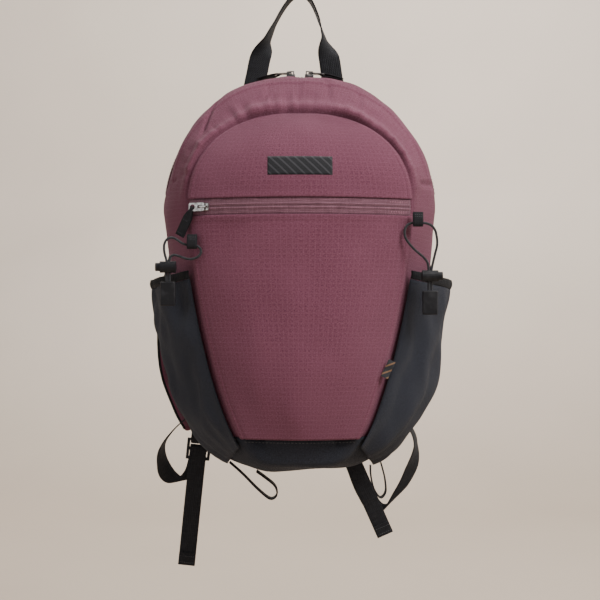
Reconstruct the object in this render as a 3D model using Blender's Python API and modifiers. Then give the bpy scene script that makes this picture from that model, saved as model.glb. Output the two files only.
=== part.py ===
"""Small hiking daypack hanging by its haul loop, every sewn and moulded piece as its own object.

Metres, +Z up. The front of the pack faces -Y and the wearer's back is at +Y.
The origin is the inner top of the haul loop, where the pack hangs.
Left and right are those of someone who looks at the front of the pack.
"""
import math

import bmesh
import bpy
from mathutils import Matrix, Vector
from mathutils.geometry import interpolate_bezier

# Clearances and cloth
GAP = 0.0003
CLOTH = 0.0015
WEBBING = 0.0016

# Bag: rear outline
HALF_WIDTH = 0.145
TOP_Z = -0.100
BASE_Z = -0.520
ARCH_Z = TOP_Z - HALF_WIDTH
SIDE_TAPER = 0.08
REAR_POWER = 4.0
BACK_Y = -0.0125
REAR_TUCK = 0.12
SHOULDER = 0.006
SHOULDER_DEPTH = 0.4

# Bag: front outline, narrower and leaning back at the top
FRONT_HALF_WIDTH = 0.113
FRONT_TOP_Z = -0.149
FRONT_BASE_Z = -0.508
FRONT_TAPER = 0.044
FRONT_TAPER_DEPTH = 0.227
FRONT_POWER = 6.0
FRONT_ARCH_POWER = 2.3
SEAM_Y = -0.115
ARCH_LEAN = 0.015
CROWN = 0.030
CROWN_POWER = 4.0
ARCH_CROWN_POWER = 3.0
BASE_SEAM_Z = -0.479
BASE_SEAM_GAP = 0.001
POCKET_DEPTH = 0.008
POCKET_GAP = 0.0028

# Rings round the bag
LOWER_STEPS = 14
UPPER_STEPS = 10
DENSE_STEPS = 200
DEPTH_STEPS = (0.0, 0.125, 0.25, 0.4, 0.55, 0.7, 0.85, 1.0)
FRONT_RINGS = (0.86, 0.66, 0.44, 0.22)
FRONT_CENTRE_Z = -0.330

# Back
BACK_PANEL = 0.012
FRAME_SHEET = 0.002
LUMBAR_SIZE = (0.090, 0.008, 0.090)
LUMBAR_Z = -0.400
YOKE_SIZE = (0.120, 0.004, 0.030)
YOKE_Z = -0.124

# Front zip: on a circle round a vertical axis
ZIP_Z = -0.246
ZIP_HALF = 0.008
ZIP_SPAN = 0.1105
ZIP_RADIUS = (FRONT_HALF_WIDTH ** 2 + CROWN ** 2) / (2 * CROWN)
ZIP_AXIS_Y = SEAM_Y - CROWN + ZIP_RADIUS
FRONT_SLIDER_ANGLE = math.radians(-24.5)

# Main zip: on a circle round the arch centre
MAIN_ZIP_Y = (-0.034, -0.018)
MAIN_ZIP_RADIUS = 0.1462
MAIN_ZIP_SPAN = math.radians(82)
MAIN_ZIP_TAPE = 0.0012
MAIN_SLIDER_ANGLE = math.radians(3.8)

# Zip slider: x along the zip towards its puller, z out of the tape
SLIDER_SIZE = (0.0095, 0.0075, 0.0030)
BRIDGE_SIZE = (0.0080, 0.0018, 0.0046)
BRIDGE_HOLE = (0.0054, 0.0040, 0.0030)
PULLER_LEVEL = 0.0048
PULLER_THICKNESS = 0.0010
PULLER_LENGTH = 0.0165
PULL_HOLE_X = 0.0122
PULL_LENGTH = 0.032

# Side pockets, along the lower quarter of the outline
POCKET_LOW = 3
POCKET_TOP = 0.775
POCKET_BULGES = {"left": (0.015, 0.015), "right": (0.022, 0.016)}
POCKET_FILL = {"left": 1.15, "right": 1.7}
POCKET_LIFT = 0.0040
HEM_START = 0.012
HEM_STEPS = 0.33

# Label
LABEL_SIZE = (0.064, 0.0187)
LABEL_Z = -0.2065

# Bungee cords on the front corners
CORD_RADIUS = 0.00125
CORD_Y = -0.1255
STRAND_APART = 0.0029
CORD_END_DROP = 0.0145
KEEPER_WIDTH = 0.010
LOCK_RADIUS = 0.0058
LOCK_LENGTH = 0.016
PLUNGER_RADIUS = 0.0042
PLUNGER_TRAVEL = 0.003
LOCK_SLOT = (0.0034, 0.020, 0.0064)
CORD_END_SIZE = (0.015, 0.006, 0.024)

# Straps and webbing
HAUL_WIDTH = 0.024
HAUL_FEET = {"left": -0.052, "right": 0.038}
STRAP_THICKNESS = 0.009
WEB_WIDTH = 0.019
SIDES = {"left": -1, "right": 1}

# Padded straps: x outwards, y, z down from the yoke; the right one hangs further in at its lower end
STRAP_WIDTHS = (0.046, 0.052, 0.055, 0.055, 0.054, 0.050, 0.042, 0.028)
STRAP_ROUTES = {
    "left": [
        (0.036, 0.0100, -0.112),
        (0.058, 0.0150, -0.150),
        (0.086, 0.0190, -0.205),
        (0.114, 0.0210, -0.270),
        (0.132, 0.0220, -0.340),
        (0.138, 0.0220, -0.405),
        (0.128, 0.0220, -0.455),
        (0.1185, 0.0220, -0.4800),
    ],
    "right": [
        (0.036, 0.0100, -0.112),
        (0.060, 0.0150, -0.150),
        (0.088, 0.0190, -0.205),
        (0.112, 0.0210, -0.270),
        (0.127, 0.0220, -0.340),
        (0.127, 0.0220, -0.400),
        (0.105, 0.0220, -0.440),
        (0.0680, 0.0220, -0.4620),
    ],
}

# Adjusters: frame, slots, and how webbing folds through them, in each adjuster's own (y, z)
LADDER_SIZE = (0.0270, 0.0044, 0.0240)
LADDER_SLOT_SIZE = (0.0210, 0.0200, 0.0070)
LADDER_SLOTS = (0.0055, -0.0050)
LADDER_PLACES = {"left": (-0.1150, 0.0220, -0.5080), "right": (0.0500, 0.0220, -0.5000)}
LADDER_TURNS = {"left": 6, "right": -24}
TIP_STEPS = [
    (0.0040, 0.0195),
    (0.0040, 0.0125),
    (0.0024, 0.0076),
    (0.0, 0.0067),
    (-0.0024, 0.0076),
    (-0.0040, 0.0125),
    (-0.0040, 0.0195),
]
TAIL_TOP_STEPS = [
    (0.0034, -0.0034),
    (0.0038, 0.0010),
    (0.0025, 0.0038),
    (0.0, 0.0046),
    (-0.0025, 0.0038),
    (-0.0038, 0.0010),
    (-0.0038, -0.0120),
]
TAIL_DROP = {
    "left": [(-0.0040, -0.040), (-0.0030, -0.075), (-0.0010, -0.110), (0.0, -0.132)],
    "right": [(-0.0040, -0.040), (-0.0030, -0.070), (-0.0010, -0.095), (0.0, -0.115)],
}

# Webbing from the bag's lower rear corners to the adjusters
ANCHORS = {
    "left": {
        "route": [
            (-0.1240, 0.0030, -0.468),
            (-0.1430, 0.0045, -0.486),
            (-0.1560, 0.0120, -0.508),
            (-0.1520, 0.0220, -0.534),
            (-0.1380, 0.0262, -0.545),
            (-0.1230, 0.0262, -0.535),
            (-0.1165, 0.0258, -0.516),
        ],
        "across": [
            (0, 1, 0),
            (0.1, 1, 0.1),
            (0.2, 1, 0.2),
            (0.5, 0.8, 0.3),
            (1, 0.3, 0.4),
            (1, 0, 0),
            (1, 0, 0),
        ],
    },
    "right": {
        "route": [
            (0.1190, 0.0030, -0.474),
            (0.1290, 0.0050, -0.496),
            (0.1250, 0.0160, -0.530),
            (0.1080, 0.0230, -0.562),
            (0.0900, 0.0270, -0.578),
            (0.0740, 0.0275, -0.558),
            (0.0620, 0.0265, -0.530),
            (0.0530, 0.0258, -0.508),
        ],
        "across": [
            (0, 1, 0),
            (0.3, 1, 0.1),
            (0.9, 0.4, 0.3),
            (1, 0.1, 0.5),
            (0.8, 0, 1),
            (1, 0, 0.3),
            (1, 0, 0),
            (1, 0, 0),
        ],
    },
}

# Pole loops under the base
POLE_LOOPS = {
    "left": {
        "route": [
            (-0.0745, -0.0600, -0.5105),
            (-0.0610, -0.0600, -0.5225),
            (-0.0440, -0.0600, -0.5395),
            (-0.0315, -0.0600, -0.5490),
            (-0.0245, -0.0600, -0.5450),
            (-0.0265, -0.0600, -0.5355),
            (-0.0370, -0.0600, -0.5265),
            (-0.0460, -0.0600, -0.5200),
        ],
        "widths": [0.010, 0.010, 0.011, 0.012, 0.013, 0.014, 0.015, 0.015],
    },
    "right": {
        "route": [
            (0.0745, -0.0600, -0.5140),
            (0.0750, -0.0600, -0.5250),
            (0.0785, -0.0600, -0.5390),
            (0.0850, -0.0600, -0.5480),
            (0.0905, -0.0600, -0.5420),
            (0.0900, -0.0600, -0.5290),
            (0.0875, -0.0600, -0.5180),
            (0.0855, -0.0600, -0.5110),
        ],
        "widths": [0.010] * 8,
    },
}

PACK = bpy.data.collections.new("daypack")
CUTTERS = bpy.data.collections.new("cutters")


def clear_scene():
    """Remove what the scene holds and link this model's two collections."""
    for thing in list(bpy.data.objects):
        bpy.data.objects.remove(thing)
    for collection in (PACK, CUTTERS):
        bpy.context.scene.collection.children.link(collection)


# ---------------------------------------------------------------- helpers


def material(name, colour, roughness, metallic=0.0):
    """A Principled material, made once for each name."""
    found = bpy.data.materials.get(name)
    if found:
        return found
    made = bpy.data.materials.new(name)
    made.use_nodes = True
    shader = made.node_tree.nodes["Principled BSDF"]
    shader.inputs["Base Color"].default_value = (*colour, 1)
    shader.inputs["Roughness"].default_value = roughness
    shader.inputs["Metallic"].default_value = metallic
    return made


def maroon_cloth():
    return material("maroon_cloth", (0.22, 0.075, 0.105), 0.85)


def black_cloth():
    return material("black_cloth", (0.028, 0.029, 0.034), 0.85)


def black_webbing():
    return material("black_webbing", (0.018, 0.019, 0.023), 0.75)


def black_plastic():
    return material("black_plastic", (0.020, 0.020, 0.022), 0.45)


def bright_metal():
    return material("bright_metal", (0.62, 0.62, 0.64), 0.30, 1.0)


def foam():
    return material("foam", (0.10, 0.10, 0.11), 0.95)


def add_object(name, data, paint, collection=PACK):
    """An object of this name in the collection, with its own material."""
    thing = bpy.data.objects.new(name, data)
    collection.objects.link(thing)
    if paint:
        data.materials.append(paint)
    if collection is CUTTERS:
        thing.hide_render = True
        thing.display_type = "WIRE"
    return thing


def mesh_from(name, build):
    """A mesh that the given function fills through bmesh."""
    work = bmesh.new()
    build(work)
    mesh = bpy.data.meshes.new(name)
    work.to_mesh(mesh)
    work.free()
    return mesh


def smooth(mesh, angle=40):
    mesh.shade_smooth()
    mesh.set_sharp_from_angle(angle=math.radians(angle))


def box(name, size, paint, matrix=Matrix(), bevel=0.0, collection=PACK):
    """A box round its own origin, bevelled, placed by the matrix."""

    def build(work):
        bmesh.ops.create_cube(work, size=1)
        bmesh.ops.scale(work, vec=size, verts=work.verts)

    thing = add_object(name, mesh_from(name, build), paint, collection)
    thing.matrix_world = matrix
    if bevel:
        edge = thing.modifiers.new("edges", "BEVEL")
        edge.width = bevel
        edge.segments = 2
    return thing


def cylinder(name, radius, length, paint, matrix=Matrix(), sides=20, collection=PACK):
    """A cylinder along its own Z, centred, placed by the matrix."""

    def build(work):
        bmesh.ops.create_cone(
            work, cap_ends=True, segments=sides, radius1=radius, radius2=radius, depth=length
        )

    thing = add_object(name, mesh_from(name, build), paint, collection)
    thing.matrix_world = matrix
    smooth(thing.data)
    return thing


def boolean(target, tool, operation):
    step = target.modifiers.new(operation.lower(), "BOOLEAN")
    step.operation = operation
    step.solver = "EXACT"
    step.object = tool


def sheet(name, rows, paint, thickness, closed=False, offset=-1.0):
    """A solid sheet: a grid of points, made thick with Solidify."""

    def build(work):
        grid = [[work.verts.new(point) for point in row] for row in rows]
        for low, high in zip(grid, grid[1:]):
            count = len(low)
            for k in range(count if closed else count - 1):
                after = (k + 1) % count
                work.faces.new((low[k], low[after], high[after], high[k]))

    thing = add_object(name, mesh_from(name, build), paint)
    thick = thing.modifiers.new("thickness", "SOLIDIFY")
    thick.thickness = thickness
    thick.offset = offset
    smooth(thing.data)
    return thing


def smooth_route(points, spacing):
    """Points a fixed distance apart on a smooth curve through the route's own points."""
    points = [Vector(p) for p in points]
    ends = [2 * points[0] - points[1]] + points + [2 * points[-1] - points[-2]]
    dense = []
    for before, start, stop, after in zip(ends, ends[1:], ends[2:], ends[3:]):
        lead = start + (stop - before) / 6
        trail = stop - (after - start) / 6
        dense += interpolate_bezier(start, lead, trail, stop, 24)[:-1]
    dense.append(points[-1])
    length = sum((b - a).length for a, b in zip(dense, dense[1:]))
    return evenly(dense, max(2, round(length / spacing)))


def evenly(points, count):
    """count + 1 points at equal distances along a line of points."""
    steps = [(b - a).length for a, b in zip(points, points[1:])]
    spacing = sum(steps) / count
    found = [points[0]]
    travelled = 0.0
    for start, stop, step in zip(points, points[1:], steps):
        while len(found) < count and travelled + step >= spacing * len(found):
            part = (spacing * len(found) - travelled) / step
            found.append(start.lerp(stop, part))
        travelled += step
    return found + [points[-1]]


def ribbon(name, route, across, widths, thickness, paint, spacing=0.006):
    """Webbing along a route; across and widths give its width direction and size at each route point.

    Without across the webbing lies in the XZ plane.
    """
    line = smooth_route(route, spacing)
    last = len(line) - 1
    rows = []
    for k, point in enumerate(line):
        place = k / last * (len(widths) - 1)
        low = min(int(place), len(widths) - 2)
        part = place - low
        if across:
            side = Vector(across[low]).lerp(Vector(across[low + 1]), part).normalized()
        else:
            along = line[min(k + 1, last)] - line[max(k - 1, 0)]
            side = Vector((-along.z, 0, along.x)).normalized()
        width = widths[low] * (1 - part) + widths[low + 1] * part
        rows.append([point - side * width / 2, point + side * width / 2])
    return sheet(name, rows, paint, thickness, offset=0.0)


def tube(name, points, radius, paint):
    """A round cord through the points."""
    curve = bpy.data.curves.new(name, "CURVE")
    curve.dimensions = "3D"
    curve.bevel_depth = radius
    curve.bevel_resolution = 2
    curve.use_fill_caps = True
    line = curve.splines.new("POLY")
    line.points.add(len(points) - 1)
    for place, point in zip(line.points, points):
        place.co = (*point, 1)
    return add_object(name, curve, paint)


def flat_plate(name, outlines, thickness, paint, matrix):
    """A flat plate from closed outlines in its own XY plane; the first is the edge, the rest are holes."""
    curve = bpy.data.curves.new(name, "CURVE")
    curve.dimensions = "2D"
    curve.fill_mode = "BOTH"
    curve.extrude = thickness / 2
    for outline in outlines:
        line = curve.splines.new("POLY")
        line.points.add(len(outline) - 1)
        line.use_cyclic_u = True
        for place, (x, y) in zip(line.points, outline):
            place.co = (x, y, 0, 1)
    thing = add_object(name, curve, paint)
    thing.matrix_world = matrix
    return thing


def rounded_outline(left, right, half, radius, steps=4):
    """A rectangle's outline from x left to right, with round corners."""
    corners = (
        (right - radius, half - radius, 0),
        (left + radius, half - radius, 90),
        (left + radius, -half + radius, 180),
        (right - radius, -half + radius, 270),
    )
    points = []
    for x, y, start in corners:
        for k in range(steps + 1):
            turn = math.radians(start + 90 * k / steps)
            points.append((x + radius * math.cos(turn), y + radius * math.sin(turn)))
    return points


# ---------------------------------------------------------------- the bag's shape


def rear_half_width(drop):
    """Half-width of the rear outline at a distance below the arch centre, before the bottom curve."""
    return HALF_WIDTH - SIDE_TAPER * drop


def front_side(drop):
    """Half-width of the front outline at a distance below the zip, before the bottom curve."""
    return FRONT_HALF_WIDTH - FRONT_TAPER * (max(drop, 0) / FRONT_TAPER_DEPTH) ** 1.5


def lower_quarter(side_at, depth, power, level):
    """Points from the bottom centre up to the widest level on the +X side, evenly spaced."""
    points = []
    for step in range(DENSE_STEPS + 1):
        turn = math.radians(90) * step / DENSE_STEPS
        drop = depth * max(math.cos(turn), 0) ** (2 / power)
        reach = side_at(drop) * math.sin(turn) ** (2 / power)
        points.append(Vector((reach, level - drop)))
    return evenly(points, LOWER_STEPS)


def upper_quarter(width, height, power, level):
    """Points from the widest level up to the top centre on the +X side, evenly spaced."""
    points = []
    for step in range(DENSE_STEPS + 1):
        turn = math.radians(90) * step / DENSE_STEPS
        reach = width * max(math.cos(turn), 0) ** (2 / power)
        points.append(Vector((reach, level + height * math.sin(turn) ** (2 / power))))
    return evenly(points, UPPER_STEPS)


def full_ring(right_half):
    """The +X half of an outline, from bottom to top, closed by its mirror image."""
    left_half = [Vector((-p.x, p.y)) for p in right_half[-2:0:-1]]
    return right_half + left_half


def rear_ring():
    low = lower_quarter(rear_half_width, ARCH_Z - BASE_Z, REAR_POWER, ARCH_Z)
    return full_ring(low[:-1] + upper_quarter(HALF_WIDTH, HALF_WIDTH, 2, ARCH_Z))


def front_ring():
    low = lower_quarter(front_side, ZIP_Z - FRONT_BASE_Z, FRONT_POWER, ZIP_Z)
    arch = upper_quarter(FRONT_HALF_WIDTH, FRONT_TOP_Z - ZIP_Z, FRONT_ARCH_POWER, ZIP_Z)
    return full_ring(low[:-1] + arch)


def front_half_width(z):
    """Half-width of the front outline at a height."""
    if z > ZIP_Z:
        rise = min((z - ZIP_Z) / (FRONT_TOP_Z - ZIP_Z), 1)
        return FRONT_HALF_WIDTH * (1 - rise ** FRONT_ARCH_POWER) ** (1 / FRONT_ARCH_POWER)
    drop = ZIP_Z - z
    fall = min(drop / (ZIP_Z - FRONT_BASE_Z), 1)
    return front_side(drop) * (1 - fall ** FRONT_POWER) ** (1 / FRONT_POWER)


def seam_depth(z):
    """Y of the front seam at a height; the arch leans back towards its top."""
    rise = max(z - ZIP_Z, 0) / (FRONT_TOP_Z - ZIP_Z)
    return SEAM_Y + ARCH_LEAN * min(rise, 1) ** 2


def crown(z):
    """How far the middle of the front stands proud of its seam at a height."""
    if z > ZIP_Z:
        rise = min((z - ZIP_Z) / (FRONT_TOP_Z - ZIP_Z), 1)
        return CROWN * (1 - rise ** ARCH_CROWN_POWER)
    fall = min((ZIP_Z - z) / (ZIP_Z - FRONT_BASE_Z), 1)
    return CROWN * (1 - fall ** CROWN_POWER)


def front_depth(x, z):
    """Y of the pack's outer front surface: a circular arc across the width at every height."""
    half = front_half_width(z)
    height = crown(z)
    if height < 1e-4 or half < 1e-4:
        return seam_depth(z)
    radius = (half ** 2 + height ** 2) / (2 * height)
    reach = min(abs(x), half)
    return seam_depth(z) - (math.sqrt(radius ** 2 - reach ** 2) - (radius - height))


def gusset_blend(depth):
    """How far the side wall has moved from the rear outline to the front one, from 0 to 1."""
    if depth <= 0.25:
        return REAR_TUCK * (1 - depth / 0.25) ** 2
    return ((depth - 0.25) / 0.75) ** 1.7


def inner_seam_depth(z):
    """Y of the bag's own front edge, just behind the outer front panels."""
    return seam_depth(z) + CLOTH + POCKET_GAP


def shoulder(flat, depth):
    """How far the arch's shoulders stand out beyond the round rear outline."""
    rise = flat.y - ARCH_Z
    if rise <= 0:
        return Vector((0, 0))
    turn = math.atan2(rise, abs(flat.x)) / math.radians(90)
    if depth < SHOULDER_DEPTH:
        fade = max(depth - 0.25, 0) / (SHOULDER_DEPTH - 0.25)
    else:
        fade = (1 - depth) / (1 - SHOULDER_DEPTH)
    out = Vector((flat.x, rise)).normalized()
    return out * SHOULDER * fade * math.sin(math.pi * turn ** 1.6)


def gusset_ring(depth, rear, front):
    """One ring of the side wall at a fraction of the way from the back to the front seam."""
    blend = gusset_blend(depth)
    ring = []
    for back, face in zip(rear, front):
        flat = back.lerp(face, blend)
        flat += shoulder(flat, depth)
        y = BACK_Y + (inner_seam_depth(face.y) - BACK_Y) * depth
        ring.append(Vector((flat.x, y, flat.y)))
    return ring


def front_wall_ring(scale, front):
    """One ring of the bag's front wall, behind the front pocket."""
    ring = []
    for face in front:
        x = face.x * scale
        z = FRONT_CENTRE_Z + (face.y - FRONT_CENTRE_Z) * scale
        y = front_depth(x, z) + CLOTH + POCKET_GAP + POCKET_DEPTH * (1 - scale ** 3)
        ring.append(Vector((x, y, z)))
    return ring


def wall_point(along, depth, rear_rings):
    """A point of the side wall: along counts ring steps, depth runs from 0 at the back to 1."""
    level = min(sum(d <= depth for d in DEPTH_STEPS) - 1, len(DEPTH_STEPS) - 2)
    part = (depth - DEPTH_STEPS[level]) / (DEPTH_STEPS[level + 1] - DEPTH_STEPS[level])
    step = min(int(along), LOWER_STEPS + UPPER_STEPS - 1)
    rest = along - step
    near = rear_rings[level][step].lerp(rear_rings[level][step + 1], rest)
    far = rear_rings[level + 1][step].lerp(rear_rings[level + 1][step + 1], rest)
    return near.lerp(far, part)


def wall_normal(along, depth, rear_rings):
    """Outward direction of the side wall on the +X side."""
    small = 0.04
    up = wall_point(along + 0.5, depth, rear_rings) - wall_point(along - 0.5, depth, rear_rings)
    low = max(depth - small * 2, 0.0)
    high = min(depth + small * 2, 1.0)
    forward = wall_point(along, high, rear_rings) - wall_point(along, low, rear_rings)
    return up.cross(forward).normalized()


# ---------------------------------------------------------------- bag panels


def cut_bag(name, rings, paint, keep_above, level):
    """The open bag surface above or below a level, made thick inwards."""

    def build(work):
        grid = [[work.verts.new(point) for point in ring] for ring in rings]
        count = len(grid[0])
        for near, far in zip(grid, grid[1:]):
            for k in range(count):
                after = (k + 1) % count
                work.faces.new((near[k], far[k], far[after], near[after]))
        middle_y = front_depth(0, FRONT_CENTRE_Z) + CLOTH + POCKET_GAP + POCKET_DEPTH
        middle = work.verts.new((0, middle_y, FRONT_CENTRE_Z))
        for k in range(count):
            work.faces.new((grid[-1][k], middle, grid[-1][(k + 1) % count]))
        bmesh.ops.bisect_plane(
            work,
            geom=work.verts[:] + work.edges[:] + work.faces[:],
            dist=1e-5,
            plane_co=(0, 0, level),
            plane_no=(0, 0, -1 if keep_above else 1),
            clear_outer=True,
        )
        bmesh.ops.recalc_face_normals(work, faces=work.faces)

    bag = add_object(name, mesh_from(name, build), paint)
    inside = Vector((0, -0.06, -0.31))
    outward = [face for face in bag.data.polygons if face.normal.dot(face.center - inside) > 0]
    if len(outward) < len(bag.data.polygons) / 2:
        bag.data.flip_normals()
    thick = bag.modifiers.new("thickness", "SOLIDIFY")
    thick.thickness = CLOTH
    thick.offset = -1
    smooth(bag.data)
    return bag


def bag(gusset, front):
    """The main bag with its front wall, and the black base below it."""
    rings = gusset + [front_wall_ring(scale, front) for scale in FRONT_RINGS]
    cut_bag("main_shell", rings, maroon_cloth(), True, BASE_SEAM_Z + BASE_SEAM_GAP / 2)
    cut_bag("base_panel", rings, black_cloth(), False, BASE_SEAM_Z - BASE_SEAM_GAP / 2)


def back_outline(shrink):
    """The back's outline in the XZ plane, moved inwards a little."""
    points = []
    for p, q in zip(rear_ring(), front_ring()):
        edge = p.lerp(q, REAR_TUCK)
        inwards = Vector((0, ARCH_Z - 0.05)) - edge
        points.append(edge + inwards.normalized() * shrink)
    return points


def back():
    """Padded back panel, the stiff sheet behind it, the lumbar pad and the strap yoke."""
    upright = Matrix.Rotation(math.radians(90), 4, "X")
    edge = [(p.x, p.y) for p in back_outline(0.0)]
    inner = [(p.x, p.y) for p in back_outline(0.006)]
    panel_y = BACK_Y + GAP + BACK_PANEL / 2
    panel_place = Matrix.Translation((0, panel_y, 0)) @ upright
    flat_plate("back_panel", [edge], BACK_PANEL, black_cloth(), panel_place)
    sheet_y = BACK_Y - FRAME_SHEET / 2
    flat_plate("frame_sheet", [inner], FRAME_SHEET, foam(), Matrix.Translation((0, sheet_y, 0)) @ upright)
    rear_face = BACK_Y + GAP + BACK_PANEL + GAP
    lumbar_y = rear_face + LUMBAR_SIZE[1] / 2
    box("lumbar_pad", LUMBAR_SIZE, foam(), Matrix.Translation((0, lumbar_y, LUMBAR_Z)), 0.003)
    yoke_y = rear_face + YOKE_SIZE[1] / 2
    box("strap_yoke", YOKE_SIZE, black_cloth(), Matrix.Translation((0, yoke_y, YOKE_Z)), 0.001)


def front_panel(name, low, high, rows):
    """A panel of the pack's front between two heights, as wide as the front is there."""
    grid = []
    for k in range(rows + 1):
        z = low + (high - low) * k / rows
        half = front_half_width(z)
        line = []
        for j in range(17):
            x = half * (j / 8 - 1)
            line.append((x, front_depth(x, z), z))
        grid.append(line)
    return sheet(name, grid, maroon_cloth(), CLOTH, offset=-1)


def front():
    """Front pocket panels above and below the zip, and the zip's own tape."""
    front_panel("front_panel_lower", BASE_SEAM_Z, ZIP_Z - ZIP_HALF - GAP, 9)
    front_panel("front_panel_upper", ZIP_Z + ZIP_HALF + GAP, FRONT_TOP_Z - 0.003, 7)
    grid = []
    reach = math.asin(ZIP_SPAN / ZIP_RADIUS)
    for z in (ZIP_Z - ZIP_HALF, ZIP_Z + ZIP_HALF):
        line = []
        for k in range(25):
            turn = reach * (k / 12 - 1)
            line.append((ZIP_RADIUS * math.sin(turn), ZIP_AXIS_Y - ZIP_RADIUS * math.cos(turn), z))
        grid.append(line)
    sheet("front_zip_chain", grid, maroon_cloth(), 0.0012, offset=-1)


def main_zip():
    """The main zip's tape round the top of the bag."""
    grid = []
    for y in MAIN_ZIP_Y:
        line = []
        for k in range(33):
            turn = MAIN_ZIP_SPAN * (k / 16 - 1)
            x = (MAIN_ZIP_RADIUS + MAIN_ZIP_TAPE) * math.sin(turn)
            z = ARCH_Z + (MAIN_ZIP_RADIUS + MAIN_ZIP_TAPE) * math.cos(turn)
            line.append((x, y, z))
        grid.append(line)
    sheet("main_zip_chain", grid, maroon_cloth(), MAIN_ZIP_TAPE, offset=1)


def patch(name, middle, size, turn, paint, thickness):
    """A small flat label bent to the front panel, a little proud of it."""
    grid = []
    for v in (-0.5, 0, 0.5):
        line = []
        for k in range(9):
            u = k / 8 - 0.5
            x = middle[0] + size[0] * u * math.cos(turn) - size[1] * v * math.sin(turn)
            z = middle[1] + size[0] * u * math.sin(turn) + size[1] * v * math.cos(turn)
            line.append((x, front_depth(x, z) - 0.0006, z))
        grid.append(line)
    return sheet(name, grid, paint, thickness, offset=1)


# ---------------------------------------------------------------- zip pieces


def zip_slider(prefix, place, pull_angle):
    """Slider, metal puller and tape pull; the matrix puts x along the zip and z out of the tape."""
    height = SLIDER_SIZE[2]
    top = GAP + height
    middle = place @ Matrix.Translation((0, 0, GAP + height / 2))
    body = box(prefix + "_slider", SLIDER_SIZE, bright_metal(), middle, 0.0006)
    arch = box(
        prefix + "_bridge_block",
        BRIDGE_SIZE,
        None,
        place @ Matrix.Translation((0, 0, top - 0.0006 + BRIDGE_SIZE[2] / 2)),
        0.0004,
        CUTTERS,
    )
    hole = box(
        prefix + "_bridge_hole",
        BRIDGE_HOLE,
        None,
        place @ Matrix.Translation((0, 0, top + BRIDGE_HOLE[2] / 2)),
        0,
        CUTTERS,
    )
    boolean(body, arch, "UNION")
    boolean(body, hole, "DIFFERENCE")
    edge = rounded_outline(-0.0012, PULLER_LENGTH, 0.0042, 0.0018)
    near_hole = rounded_outline(0.0012, 0.0066, 0.0016, 0.0005, 2)
    ring = [
        (PULL_HOLE_X + 0.0028 * math.cos(math.radians(k * 30)), 0.0028 * math.sin(math.radians(k * 30)))
        for k in range(12)
    ]
    level = place @ Matrix.Translation((0, 0, PULLER_LEVEL))
    flat_plate(prefix + "_puller", [edge, near_hole, ring], PULLER_THICKNESS, bright_metal(), level)
    pull_tape(prefix + "_pull_tape", level @ Matrix.Translation((PULL_HOLE_X, 0, 0)), pull_angle)


def pull_tape(name, eye, angle):
    """A folded tape through the puller's eye, hanging at an angle in the puller's plane."""
    down = Vector((math.cos(angle), math.sin(angle), 0))
    side = Vector((-math.sin(angle), math.cos(angle), 0))
    out = Vector((0, 0, 1))
    steps = (
        (PULL_LENGTH, 0.0008),
        (0.0120, 0.0012),
        (0.0040, 0.0014),
        (0.0008, 0.0009),
        (0.0000, 0.0000),
        (0.0008, -0.0009),
        (0.0040, -0.0014),
        (0.0120, -0.0012),
        (PULL_LENGTH, -0.0008),
    )
    route = [eye @ (down * along + out * lift) for along, lift in steps]
    turned = eye.to_3x3() @ side
    widths = (0.0100, 0.0095, 0.0034, 0.0034, 0.0034, 0.0034, 0.0034, 0.0095, 0.0100)
    rows = []
    for point, width in zip(route, widths):
        rows.append([point - turned * width / 2, point + turned * width / 2])
    sheet(name, rows, black_webbing(), 0.0007, offset=0.0)


def zips():
    """The three sliders: one on the front pocket, and two that meet at the top of the bag."""
    turn = FRONT_SLIDER_ANGLE
    out = Vector((math.sin(turn), -math.cos(turn), 0))
    along = Vector((-math.cos(turn), -math.sin(turn), 0))
    place = frame_matrix(along, out, Vector((0, ZIP_AXIS_Y, ZIP_Z)) + out * ZIP_RADIUS)
    zip_slider("front_zip", place, math.radians(62))
    for side, sign in SIDES.items():
        turn = MAIN_SLIDER_ANGLE * sign
        out = Vector((math.sin(turn), 0, math.cos(turn)))
        along = Vector((math.cos(turn), 0, -math.sin(turn))) * sign
        middle = Vector((0, sum(MAIN_ZIP_Y) / 2, ARCH_Z)) + out * (MAIN_ZIP_RADIUS + MAIN_ZIP_TAPE * 2)
        place = frame_matrix(along, out, middle)
        zip_slider("main_zip_" + side, place, math.radians(45) * sign)


def frame_matrix(along, out, origin):
    """A matrix whose x is along, z is out, and y completes it."""
    across = out.cross(along)
    turn = Matrix((along, across, out)).transposed().to_4x4()
    return Matrix.Translation(origin) @ turn


# ---------------------------------------------------------------- side pockets


def pocket_lift(depth, rise, side):
    """How far the pocket stands off the side wall: least at its sewn edges."""
    across = math.sin(math.pi * min(max((depth - 0.05) / 0.91, 0), 1)) ** 0.7
    low, high = POCKET_BULGES[side]
    bulge = low + (high - low) * min(rise, 1)
    return POCKET_LIFT + bulge * across * math.sin(math.pi / 2 * min(rise * POCKET_FILL[side], 1))


def side_pockets(gusset):
    """Stretch pockets on both sides, and the elastic hem round each mouth."""
    top = POCKET_TOP * LOWER_STEPS
    levels = [POCKET_LOW + (top - POCKET_LOW) * k / 8 for k in range(9)]
    hem_levels = [top + HEM_START, top + HEM_START + HEM_STEPS]
    for side in SIDES:
        rows = pocket_rows(side, levels, gusset)
        sheet("side_pocket_" + side, rows, black_cloth(), CLOTH, offset=-1)
        hem = pocket_rows(side, hem_levels, gusset)
        sheet("pocket_hem_" + side, hem, black_webbing(), CLOTH * 1.2, offset=-1)


def pocket_rows(side, levels, gusset):
    """Rows of a side pocket's outer surface, in the order that faces them outwards."""
    depths = (0.05, 0.12, 0.2, 0.3, 0.4, 0.5, 0.6, 0.7, 0.8, 0.88, 0.96)
    rows = []
    for level in levels:
        row = [pocket_point(level, depth, side, gusset) for depth in depths]
        rows.append(row[::-1] if side == "right" else row)
    return rows


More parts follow.
